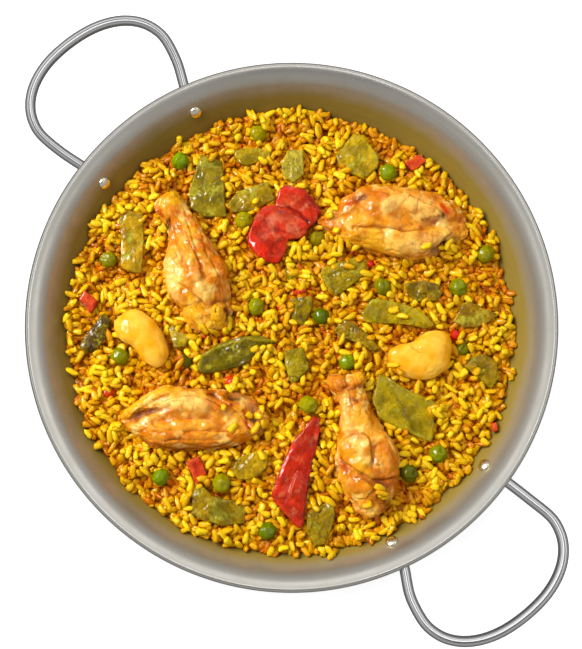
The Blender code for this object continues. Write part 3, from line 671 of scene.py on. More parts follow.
def pan_profile():
    """The pan's section, (radius, height), from the middle of its underside round the rim to its inside."""
    stations = wall_stations(CURVE_STEPS)
    outside = [point - slope_normal(slope) * SHEET for point, slope in stations]
    lip_turn = math.radians(90) + LIP_SLOPE
    sweep = math.tau - math.acos((BEAD_RADIUS - SHEET) / BEAD_RADIUS)
    curl = []
    for k in range(CURL_STEPS + 1):
        turn = lip_turn - sweep * k / CURL_STEPS
        curl.append(bead_middle() + Vector((math.cos(turn), math.sin(turn))) * BEAD_RADIUS)
    inside = [point for point, _ in stations]
    base = [Vector((share * outside[0].x, 0)) for share in BASE_SHARES]
    bottom = [Vector((p.x, SHEET)) for p in reversed(base)]
    return [*base, *outside, *reversed(curl), *reversed(inside), *bottom]


def turned(profile, sides):
    """(points, faces) of a section turned round the Z axis."""
    turns = round_turn(sides)
    section = np.array([tuple(p) for p in profile])
    rings = np.stack((
        section[:, :1] * np.cos(turns), section[:, :1] * np.sin(turns), np.repeat(section[:, 1:], sides, 1)
    ), -1)
    return lofted(rings)


def rivet_place(turn):
    """Where the rivet at this angle sits: X along the pan's edge, Y up the wall and Z out of its inside."""
    out = Vector((math.cos(turn), math.sin(turn), 0))
    edge = Vector((math.sin(turn), -math.cos(turn), 0))
    up = Vector((0, 0, 1))
    up_wall = out * math.cos(WALL_SLOPE) + up * math.sin(WALL_SLOPE)
    inward = up * math.cos(WALL_SLOPE) - out * math.sin(WALL_SLOPE)
    place = Matrix((edge, up_wall, inward)).transposed().to_4x4()
    place.translation = out * RIVET_RADIUS + up * wall_height(RIVET_RADIUS)
    return place


def rivet_profile():
    """A domed head, with a thin seat, then the shank and a flat tail."""
    far = -(SHEET + TAB_THICKNESS + 2.2 * CLEARANCE)
    head = []
    for k in range(1, HEAD_STEPS + 1):
        turn = math.radians(90) * k / HEAD_STEPS
        head.append((HEAD_RADIUS * math.sin(turn), CLEARANCE + HEAD_HEIGHT * math.cos(turn)))
    tail = [(share * TAIL_RADIUS, far - drop * TAIL_HEIGHT) for share, drop in TAIL_STEPS]
    return [(0.3 * MM, CLEARANCE + HEAD_HEIGHT), *head, (HEAD_RADIUS, 0), (SHANK_RADIUS, 0), (SHANK_RADIUS, far), *tail]


def new_laying_tree():
    """A Geometry Nodes tree: on each point one shape of a set, turned and sized by the point's own values."""
    takes = (
        ("Points", "Geometry"), ("Shapes", "Collection"), ("Unevenness", "Float"), ("Wave Length", "Float"),
        ("Finish", "Material"),
    )
    tree, given, out = new_group("laid_on_points", takes, (("Laid", "Geometry"),), "Geometry")

    def made(kind, output, values, **settings):
        return add_node(tree, kind, values, **settings).outputs[output]

    def own_value(label, kind):
        return made("GeometryNodeInputNamedAttribute", "Attribute", {"Name": label}, data_type=kind)

    shapes = made("GeometryNodeCollectionInfo", "Instances", {
        "Collection": given["Shapes"], "Separate Children": True, "Reset Children": True,
    })
    turn = made("FunctionNodeEulerToRotation", "Rotation", {"Euler": own_value("turn", "FLOAT_VECTOR")})
    laid_shapes = made("GeometryNodeInstanceOnPoints", "Instances", {
        "Points": given["Points"], "Instance": shapes, "Pick Instance": True,
        "Instance Index": own_value("pick", "INT"), "Rotation": turn, "Scale": own_value("size", "FLOAT_VECTOR"),
    })
    real = made("GeometryNodeRealizeInstances", "Geometry", {"Geometry": laid_shapes})
    scale = made("ShaderNodeMath", 0, {0: 1.0, 1: given["Wave Length"]}, operation="DIVIDE")
    wave = made("ShaderNodeTexNoise", "Color", {"Scale": scale, "Detail": 1.0})
    middled = made("ShaderNodeVectorMath", "Vector", {0: wave, 1: (0.5, 0.5, 0.5)}, operation="SUBTRACT")
    moved = made("ShaderNodeVectorMath", "Vector", {0: middled, 3: given["Unevenness"]}, operation="SCALE")
    uneven = made("GeometryNodeSetPosition", "Geometry", {"Geometry": real, "Offset": moved})
    smooth = made("GeometryNodeSetShadeSmooth", "Geometry", {"Geometry": uneven})
    dressed = made("GeometryNodeSetMaterial", "Geometry", {"Geometry": smooth, "Material": given["Finish"]})
    tree.links.new(dressed, out["Laid"])
    return tree


def new_wire_tree():
    """A Geometry Nodes tree: a round wire with closed ends along a path."""
    takes = (("Path", "Geometry"), ("Wire Radius", "Float"), ("Sides", "Int"), ("Finish", "Material"))
    tree, given, out = new_group("wire_on_path", takes, (("Wire", "Geometry"),), "Geometry")
    curve = add_node(tree, "GeometryNodeMeshToCurve", {"Mesh": given["Path"]}).outputs["Curve"]
    section = {"Radius": given["Wire Radius"], "Resolution": given["Sides"]}
    circle = add_node(tree, "GeometryNodeCurvePrimitiveCircle", section).outputs["Curve"]
    sweep = {"Curve": curve, "Profile Curve": circle, "Fill Caps": True}
    swept = add_node(tree, "GeometryNodeCurveToMesh", sweep).outputs["Mesh"]
    real = add_node(tree, "GeometryNodeRealizeInstances", {"Geometry": swept}).outputs["Geometry"]
    finish_values = {"Geometry": real, "Material": given["Finish"]}
    dressed = add_node(tree, "GeometryNodeSetMaterial", finish_values).outputs["Geometry"]
    tree.links.new(dressed, out["Wire"])
    return tree


LAYING = new_laying_tree()
WIRE = new_wire_tree()


def grown(piece, tree, values):
    """Leaves on a piece the plain mesh that a Geometry Nodes tree makes of it."""
    modifier = piece.modifiers.new(tree.name, "NODES")
    modifier.node_group = tree
    for socket in tree.interface.items_tree:
        if socket.name in values:
            modifier[socket.identifier] = values[socket.name]
    graph = bpy.context.evaluated_depsgraph_get()
    made = bpy.data.meshes.new_from_object(piece.evaluated_get(graph))
    piece.modifiers.clear()
    old, piece.data = piece.data, made
    bpy.data.meshes.remove(old)
    made.name = piece.name
    made.shade_smooth()
    return piece


def shape_set(name, shapes):
    """A collection of (points, faces) shapes that a tree picks from."""
    group = bpy.data.collections.new(name)
    for number, (points, faces) in enumerate(shapes):
        mesh = bpy.data.meshes.new(f"{name}_{number}")
        mesh.from_pydata(points, [], facing_out(points, faces))
        group.objects.link(bpy.data.objects.new(f"{name}_{number}", mesh))
    return group


def laid(name, shapes, places, coat, unevenness=0.0, wave_length=10 * MM):
    """One piece of many: a shape of the set at each place, given as a dict of its own values."""
    points = bpy.data.meshes.new(name)
    points.from_pydata([place["at"] for place in places], [], [])
    for label, kind, key in (
        ("turn", "FLOAT_VECTOR", "vector"), ("size", "FLOAT_VECTOR", "vector"), ("pick", "INT", "value"),
        ("shade", "FLOAT", "value"), ("tone", "FLOAT_COLOR", "color"),
    ):
        if label in places[0]:
            layer = points.attributes.new(label, kind, "POINT")
            layer.data.foreach_set(key, np.array([place[label] for place in places]).ravel())
    piece = bpy.data.objects.new(name, points)
    bpy.context.scene.collection.objects.link(piece)
    group = shape_set(f"{name}_shapes", shapes)
    values = {"Shapes": group, "Unevenness": unevenness, "Wave Length": wave_length, "Finish": coat}
    grown(piece, LAYING, values)
    for shape in list(group.objects):
        bpy.data.objects.remove(shape)
    bpy.data.collections.remove(group)
    return piece


def make_pan(coat):
    """The pan, with a value that tells its inside from its outside."""
    points, faces = turned(pan_profile(), PAN_SIDES)
    pan = make_piece("pan_shell", points, faces, coat)
    inside = pan.data.attributes.new("inside", "FLOAT", "POINT")
    inside.data.foreach_set("value", (normals_of(points, faces)[:, 2] > 0).astype(float))
    finish(pan, "pan_steel", "pan")
    return pan


def make_rivets(coat):
    """The four rivets, as one piece."""
    places = []
    for turn in HANDLES.values():
        for side in (1, -1):
            place = rivet_place(turn + side * RIVET_SPREAD)
            euler = tuple(place.to_euler())
            places.append({"at": tuple(place.translation), "turn": euler, "size": (1, 1, 1), "pick": 0})
    rivets = laid("rivets", [turned(rivet_profile(), RIVET_SIDES)], places, coat)
    rivets.data.set_sharp_from_angle(angle=RIVET_SHARP)
    finish(rivets, "rivet_steel", *(f"rivet_{k}" for k in range(1, 5)))
    return rivets


def handle_path(skew):
    """Points along the wire's middle line, from the foot of one tab to the foot of the other, for a handle on +X."""
    rivet = rivet_place(RIVET_SPREAD)
    foot = [rivet @ Vector((0, y, TAB_DEPTH)) for y in (-TAB_RADIUS, -0.5 * TAB_RADIUS, 0)]
    half = []
    for k in range(GRIP_STEPS + 1):
        turn = math.radians(90) * k / GRIP_STEPS
        out = GRIP_WIDEST + (GRIP_REACH - GRIP_WIDEST) * math.sin(turn) ** (2 / GRIP_SQUARENESS)
        across = GRIP_HALF_WIDTH * max(math.cos(turn), 0) ** (2 / GRIP_SQUARENESS)
        share = (out - LEG_UNDER_RIM.x) / (GRIP_REACH - LEG_UNDER_RIM.x)
        half.append(Vector((out, across, LEG_UNDER_RIM.z + (GRIP_HEIGHT - LEG_UNDER_RIM.z) * share)))
    half.insert(0, LEG_UNDER_RIM.lerp(half[0], 0.5) + LEG_BEND)
    grip = half + [Vector((p.x, -p.y, p.z)) for p in reversed(half[:-1])]
    skewed = Matrix.Rotation(skew, 3, "Z")
    ends = [*foot, LEG_FOOT, LEG_UNDER_RIM]
    other_ends = [Vector((p.x, -p.y, p.z)) for p in reversed(ends)]
    return through(ends + [skewed @ p for p in grip] + other_ends, WIRE_STEPS)


def hammered(points, turn):
    """Flattens the ends of a handle's wire into round-footed tabs under the rivets."""
    for side in (1, -1):
        place = rivet_place(turn + side * RIVET_SPREAD)
        inverse = np.array(place.inverted())
        local = points @ inverse[:3, :3].T + inverse[:3, 3]
        near = (np.abs(local[:, 0]) < 3 * TAB_RADIUS) & (local[:, 1] < 1.6 * TAB_LENGTH) & (local[:, 2] < 0)
        y = local[near, 1]
        flat = 1 - np.clip((y - 0.3 * TAB_LENGTH) / TAB_LENGTH, 0, 1) ** 1.5
        foot = np.sqrt(np.clip(1 - np.clip(-y / TAB_RADIUS, 0, 0.98) ** 2, 0, 1))
        local[near, 0] *= 1 + flat * (TAB_RADIUS * foot / WIRE_RADIUS - 1)
        squashed = TAB_DEPTH + (local[near, 2] - TAB_DEPTH) * (0.5 * TAB_THICKNESS / WIRE_RADIUS)
        local[near, 2] += flat * (squashed - local[near, 2])
        outward = np.array(place)
        points = local @ outward[:3, :3].T + outward[:3, 3]
    return points


def make_handles(coat):
    """The two handles, each a wire with hammered ends."""
    handles = []
    for name, turn in HANDLES.items():
        path = [Matrix.Rotation(turn, 3, "Z") @ Vector(p) for p in handle_path(HANDLE_SKEW[name])]
        line = bpy.data.meshes.new(name)
        line.from_pydata(path, [(k, k + 1) for k in range(len(path) - 1)], [])
        handle = bpy.data.objects.new(f"{name}_wire", line)
        bpy.context.scene.collection.objects.link(handle)
        grown(handle, WIRE, {"Wire Radius": WIRE_RADIUS, "Sides": WIRE_SIDES, "Finish": coat})
        points = np.empty(len(handle.data.vertices) * 3)
        handle.data.vertices.foreach_get("co", points)
        points = hammered(points.reshape(-1, 3), turn)
        handle.data.vertices.foreach_set("co", points.ravel())
        handle.data.set_sharp_from_angle(angle=TAB_SHARP)
        finish(handle, "handle_wire", name)
        handles.append(handle)
    return handles


# ---------------------------------------------------------------- toppings

PALETTE = {
    "cream": srgb(252, 206, 108),
    "pale": srgb(236, 164, 42),
    "gold": srgb(208, 118, 4),
    "yellow": srgb(236, 176, 22),
    "orange": srgb(206, 108, 12),
    # dark is painted shade, used for the marks in holes and hollows
    "brown": srgb(146, 72, 10),
    "dark": srgb(62, 26, 12),
    "purple": srgb(112, 48, 34),
    "red": srgb(172, 34, 10),
    "meat": srgb(160, 108, 60),
    "moss": srgb(96, 84, 4),
    "leaf": srgb(150, 136, 10),
    "lime": srgb(176, 156, 18),
    "scarlet": srgb(208, 34, 2),
    "crimson": srgb(186, 44, 18),
    "maroon": srgb(110, 10, 8),
    "coral": srgb(218, 86, 32),
    "rose": srgb(206, 112, 78),
    "sage": srgb(172, 162, 44),
    "butter": srgb(250, 194, 66),
    "honey": srgb(240, 166, 14),
    "bronze": srgb(200, 118, 12),
}

# Flat green beans and peppers: each one's tone, and the pixels of its corners.
GREENS = (
    ((123, 105, 13), ((201, 156), (222, 162), (226, 216), (205, 217), (191, 209), (190, 190))),
    ((160, 124, 10), ((120, 207), (132, 212), (143, 214), (144, 240), (142, 273), (130, 272), (121, 267), (121, 228))),
    ((150, 124, 8), ((232, 152), (258, 149), (272, 153), (266, 160), (247, 167), (239, 164))),
    ((146, 117, 13), ((228, 206), (237, 193), (268, 183), (275, 200), (252, 212), (234, 213))),
    ((165, 146, 54), ((288, 152), (303, 151), (304, 175), (293, 184), (284, 177), (281, 165))),
    ((166, 137, 15), ((336, 155), (353, 135), (363, 136), (379, 159), (377, 169), (364, 180), (340, 169))),
    ((144, 120, 6), ((320, 274), (323, 268), (357, 257), (366, 264), (365, 275), (343, 292), (335, 296), (326, 287))),
    ((127, 106, 11), ((287, 307), (292, 299), (311, 297), (313, 308), (304, 324), (294, 325))),
    ((120, 94, 8), ((405, 284), (423, 281), (438, 285), (442, 294), (437, 301), (418, 302), (408, 296))),
    ((153, 129, 12), (
        (361, 313), (371, 300), (383, 300), (405, 305), (420, 311), (435, 325), (426, 329), (404, 325), (366, 323),
    )),
    ((140, 104, 9), ((453, 321), (461, 306), (468, 302), (483, 309), (496, 314), (489, 322), (478, 327), (463, 328))),
    ((89, 75, 6), (
        (196, 370), (201, 356), (219, 344), (243, 337), (263, 337), (276, 342),
        (262, 352), (244, 365), (223, 371), (204, 374),
    )),
    ((126, 97, 6), ((334, 331), (344, 320), (357, 326), (368, 335), (379, 349), (371, 351), (355, 342), (340, 338))),
    ((157, 130, 19), ((168, 328), (174, 325), (183, 332), (189, 340), (186, 347), (175, 348))),
    ((82, 61, 4), ((80, 347), (92, 328), (104, 314), (111, 321), (108, 336), (100, 346), (92, 353), (85, 352))),
    ((141, 122, 13), ((285, 351), (302, 348), (309, 368), (292, 387), (285, 365))),
    ((147, 124, 11), (
        (378, 374), (388, 377), (403, 388), (438, 404), (434, 420), (431, 442),
        (416, 436), (395, 428), (379, 418), (372, 400),
    )),
    ((136, 108, 10), ((463, 366), (472, 357), (484, 354), (497, 363), (499, 378), (491, 389), (478, 378))),
    ((157, 124, 6), ((232, 469), (240, 457), (258, 450), (268, 454), (267, 467), (258, 476), (249, 480), (238, 479))),
    ((135, 106, 7), (
        (192, 496), (196, 487), (204, 487), (213, 496), (232, 500), (247, 507),
        (245, 523), (225, 526), (205, 521), (192, 514),
    )),
    ((129, 104, 10), ((307, 514), (319, 505), (332, 500), (335, 515), (331, 530), (324, 544), (315, 546), (306, 531))),
)
GREEN_THICKNESS = 4.2 * MM
GREEN_CROWN = 0.8 * MM
GREEN_CRUMPLE = 0.85
GREEN_TINT = (1.15, 1.12, 0.6)
REDS = {
    "red_pepper_back": (
        (278, 194), (285, 186), (304, 191), (314, 201), (321, 212), (317, 221), (309, 229), (299, 222), (288, 214),
        (275, 208),
    ),
    "red_pepper_front": (
        (247, 240), (257, 217), (264, 209), (273, 206), (288, 211), (301, 219), (309, 229), (302, 240),
        (288, 241), (285, 256), (278, 265), (266, 263), (254, 254),
    ),
    "red_pepper_strip": (
        (313, 417), (320, 418), (319, 435), (314, 460), (309, 482), (304, 524), (297, 527),
        (280, 508), (271, 496), (276, 481), (284, 460), (293, 441), (305, 428),
    ),
}
RED_THICKNESS = 6 * MM
RED_CROWN = 0.9 * MM
RED_CRUMPLE = 0.2
SLAB_SINK = 1 * MM
SLAB_LIFTS = {"red_pepper_front": 1.2 * MM}  # those that lie on another slab's edge
SLAB_WAVE = 1.2 * MM
SLAB_WAVE_LENGTH = 17 * MM
SLAB_SIDES = 128
SLAB_STRAIGHTNESS = 0.86
SLAB_SHARES = np.linspace(0.05, 0.95, 22)  # of the way out to its edge, where the rings of its top are
SLAB_EDGE = ((0.985, 0.94), (1.005, 0.78), (1.0, 0.35), (0.985, 0.08))  # shares of the way out and of its thickness
DICE = (
    ((80, 300), (85, 291), (98, 302), (91, 314)),
    ((405, 164), (419, 155), (426, 162), (412, 172)),
    ((187, 462), (199, 456), (207, 474), (197, 485)),
)
DICE_SIDES = 48
DICE_STRAIGHTNESS = 0.85
DICE_RINGS = (  # shares of the way out and of its thickness
    (0.3, 1), (0.6, 1), (0.9, 1), (0.97, 0.97), (1, 0.88), (1, 0.5), (1, 0.1), (0.96, 0.02), (0.6, 0), (0.3, 0),
)
DICE_THICKNESS = 7 * MM
DICE_SINK = 3.2 * MM
SMALL_DICE = (  # pixel and size of the small bits that lie in the rice
    ((108, 393), 6.5 * MM), ((300, 290), 8 * MM), ((231, 382), 8 * MM), ((457, 336), 8 * MM),
    ((496, 428), 5.5 * MM), ((371, 264), 5 * MM), ((139, 292), 7 * MM),
)

PEA_DIAMETER = 10.4 * MM
PEA_SIDES = 36
PEA_ROWS = 28
PEA_SHAPES = 4
PEA_GREEN = srgb(118, 143, 0)
PEA_OLIVE = srgb(154, 132, 2)
PEA_DENTS = (Vector((0.3, 0.5, 0.8)), Vector((-0.6, 0.3, 0.7)), Vector((0.1, -0.8, 0.55)))
PEAS = (  # each one's pixel, how olive it is and how bright
    (258, 134, 0.8, 1.05), (180, 161, 0, 1), (388, 173, 0.2, 1), (108, 260, 0.7, 0.93), (244, 221, 0.8, 1.05),
    (317, 239, 1, 0.88), (458, 288, 0.4, 0.93), (485, 254, 0.7, 0.95), (382, 287, 0.6, 0.88), (256, 307, 0.6, 1),
    (321, 317, 0.2, 0.7), (120, 356, 0.5, 0.93), (347, 362, 0.2, 1), (308, 405, 0.7, 1.05), (438, 454, 0.4, 0.92),
    (409, 473, 0.5, 0.65), (161, 477, 0.1, 0.93), (222, 483, 0.7, 1), (267, 531, 0.2, 0.8),
)
PEA_LIFTS = {13: 3.5 * MM, 17: 2.5 * MM}  # those that lie on another piece
SUNK_PEAS = ((292, 273, 0.9, 1), (462, 348, 0.6, 0.8), (186, 361, 0.8, 0.5))  # those half hidden in the rice

BEAN_HEIGHT = 13 * MM
BEAN_SIDES = 96
BEAN_RINGS = 60
BEAN_STRAIGHTNESS = 0.1
BEANS = (
    (
        (115, 331), (116, 322), (124, 314), (133, 310), (143, 312), (154, 321), (162, 332), (168, 346),
        (169, 356), (163, 366), (155, 368), (144, 361), (137, 352), (133, 347), (122, 341),
    ),
    (
        (387, 357), (389, 350), (398, 345), (407, 344), (413, 342), (419, 336), (428, 332), (438, 331), (447, 336),
        (451, 347), (450, 357), (448, 366), (443, 373), (431, 379), (418, 380), (403, 377), (391, 369),
    ),
)

# Chicken: how deep the valley between a joint's two bones is, and stations along it: the pixel of its middle,
# its half width in pixels, its height and how far it sinks into the rice, both in mm.
CHICKEN_WAIST = 0.45
CHICKEN_GROOVE_WIDTH = 0.3
CHICKEN_SIDES = 150
CHICKEN_RINGS = 200
CHICKEN_OVAL = 0.85  # 1 makes true ovals, less makes fuller ones
CHICKEN_TIP_REACH = 0.35
CHICKEN_TIP_SHARES = (0.45, 0.75, 0.6)  # of the end station's half width, height and sink
CHICKEN = {
    "chicken_drumette": (0, (
        (170, 197, 9, 10, 2), (170, 204, 16, 14, 4), (176, 215, 15, 14, 4), (183, 229, 16, 14, 4),
        (187, 240, 20, 17, 5), (191, 255, 26, 20, 6), (195, 270, 30, 22, 7), (201, 287, 30, 22, 7),
        (208, 301, 24, 19, 7), (209, 315, 24, 16, 6), (211, 327, 16, 11, 4),
    )),
    "chicken_wing_right": (0.25, (
        (322, 223, 7, 8, 3), (335, 221, 17, 12, 4), (350, 220, 25, 16, 5), (370, 219, 32, 19, 6),
        (390, 221, 35, 20, 6), (410, 225, 36, 20, 6), (430, 226, 34, 18, 6), (445, 227, 27, 16, 5),
        (456, 230, 19, 12, 4), (464, 233, 9, 8, 3),
    )),
    "chicken_wing_left": (0.25, (
        (123, 420, 6, 8, 3), (135, 419, 15, 13, 4), (150, 419, 26, 17, 6), (170, 418, 32, 20, 7),
        (190, 419, 31, 20, 7), (210, 419, 30, 20, 7), (230, 419, 27, 17, 6), (248, 419, 22, 14, 5),
        (260, 420, 14, 11, 4), (267, 420, 6, 8, 3),
    )),
    "chicken_drumstick": (0, (
        (346, 377, 18, 12, 3), (347, 385, 19, 15, 4), (350, 395, 14, 14, 4), (354, 406, 14, 15, 4),
        (357, 418, 17, 17, 5), (360, 430, 21, 19, 6), (363, 443, 28, 22, 8), (366, 457, 32, 24, 10),
        (368, 471, 31, 24, 10), (370, 485, 28, 22, 9), (371, 500, 21, 18, 7), (370, 512, 12, 12, 4),
    )),
}

# How flaps and marks keep to their paths. All but the last three are in pixels.
FLAP_WANDER = 1.4
FLAP_EDGE = 0.35
FLAP_REACH = 10
FLAP_FOOT = 2.5
FLAP_RIM = 1.3
FLAP_ENDS = 5
# The painted highlight along a flap's raised edge and the painted shade along its foot, as shares of its tone:
FLAP_LIGHT = 0.16
FLAP_SHADE = 0.34
MARK_WANDER = 0.8  # as a share of the mark's half width

# Where a piece's skin lies over itself: a path in pixels, and how much higher its right side is, in mm.
FLAPS = {
    "chicken_drumette": (
        (((214, 326), (209, 310), (203, 300), (198, 297), (190, 290), (182, 283), (172, 280)), 1.2),
        (((184, 218), (190, 232), (194, 246), (198, 259), (200, 272), (200, 282)), 1.3),
        (((180, 222), (184, 236), (189, 250), (194, 262), (196, 274)), -0.8),
        (((200, 246), (211, 262), (219, 280)), 0.7),
        (((171, 246), (177, 258), (184, 272)), 0.7),
        (((208, 309), (216, 303), (224, 301)), 1.2),
        (((172, 216), (170, 226), (165, 238)), -1.3),
    ),
    "chicken_wing_right": (
        (
            (
                (350, 232), (358, 224), (370, 218), (376, 213), (382, 207), (386, 200), (392, 196), (400, 193.5),
                (408, 194.5), (415, 199), (425, 204), (436, 208), (444, 216),
            ), 2.0,
        ),
        (((345, 238), (360, 229), (375, 230), (390, 229), (402, 232), (424, 230), (440, 229)), 0.9),
        (((398, 227), (410, 222.5), (418, 220), (430, 217), (442, 212)), -0.8),
        (((453, 231), (441, 241), (431, 248), (424, 257)), 1.7),
        (((412, 190), (425, 192), (440, 196), (450, 204), (458, 214)), 0.8),
        (((358, 192), (356, 200), (350, 208), (338, 216)), -0.8),
    ),
    "chicken_wing_left": (
        (((124, 424), (134, 413), (146, 404), (158, 397), (172, 391)), -1.4),
        (((156, 408), (161, 403), (172, 398), (186, 396), (202, 398), (216, 404), (226, 412)), 1.1),
        (((150, 419), (160, 419), (170, 414)), -1.1),
        (((170, 419), (182, 420), (196, 419), (212, 420)), 0.7),
        (((150, 424), (166, 431), (186, 433), (206, 431), (230, 433)), 0.8),
        (((148, 440), (166, 440), (186, 439), (206, 441), (226, 438)), 0.6),
        (((212, 392), (222, 400), (232, 408), (240, 416), (248, 424), (256, 434)), -1.0),
        (((156, 447), (176, 449), (200, 448), (236, 441)), -0.9),
    ),
    "chicken_drumstick": (
        (
            (
                (338, 454), (341, 445), (345, 438), (353, 435), (362, 434), (368, 438), (370, 447), (371, 456),
                (370, 468),
            ), 1.2,
        ),
        (((400, 474), (388, 478), (376, 480), (366, 474), (358, 471), (349, 464), (340, 456)), 1.0),
        (((384, 430), (390, 442), (398, 456)), 0.7),
        (((335, 457), (340, 466), (343, 475)), -1.2),
        (((350, 476), (346, 484), (348, 492), (356, 498), (366, 498), (373, 491), (372, 482)), -1.0),
        (((352, 499), (358, 506), (367, 513)), -0.8),
        (((383, 484), (384, 496), (392, 504)), 0.8),
        (((343, 374), (345, 381), (347, 389)), 0.8),
    ),
    "red_pepper_strip": (
        (((283, 506), (290, 490), (297, 470)), 0.5),
        (((302, 524), (306, 490), (314, 450)), -0.4),
    ),
    "butter_bean_2": ((((407, 343), (414, 350), (424, 357)), 0.5),),
}
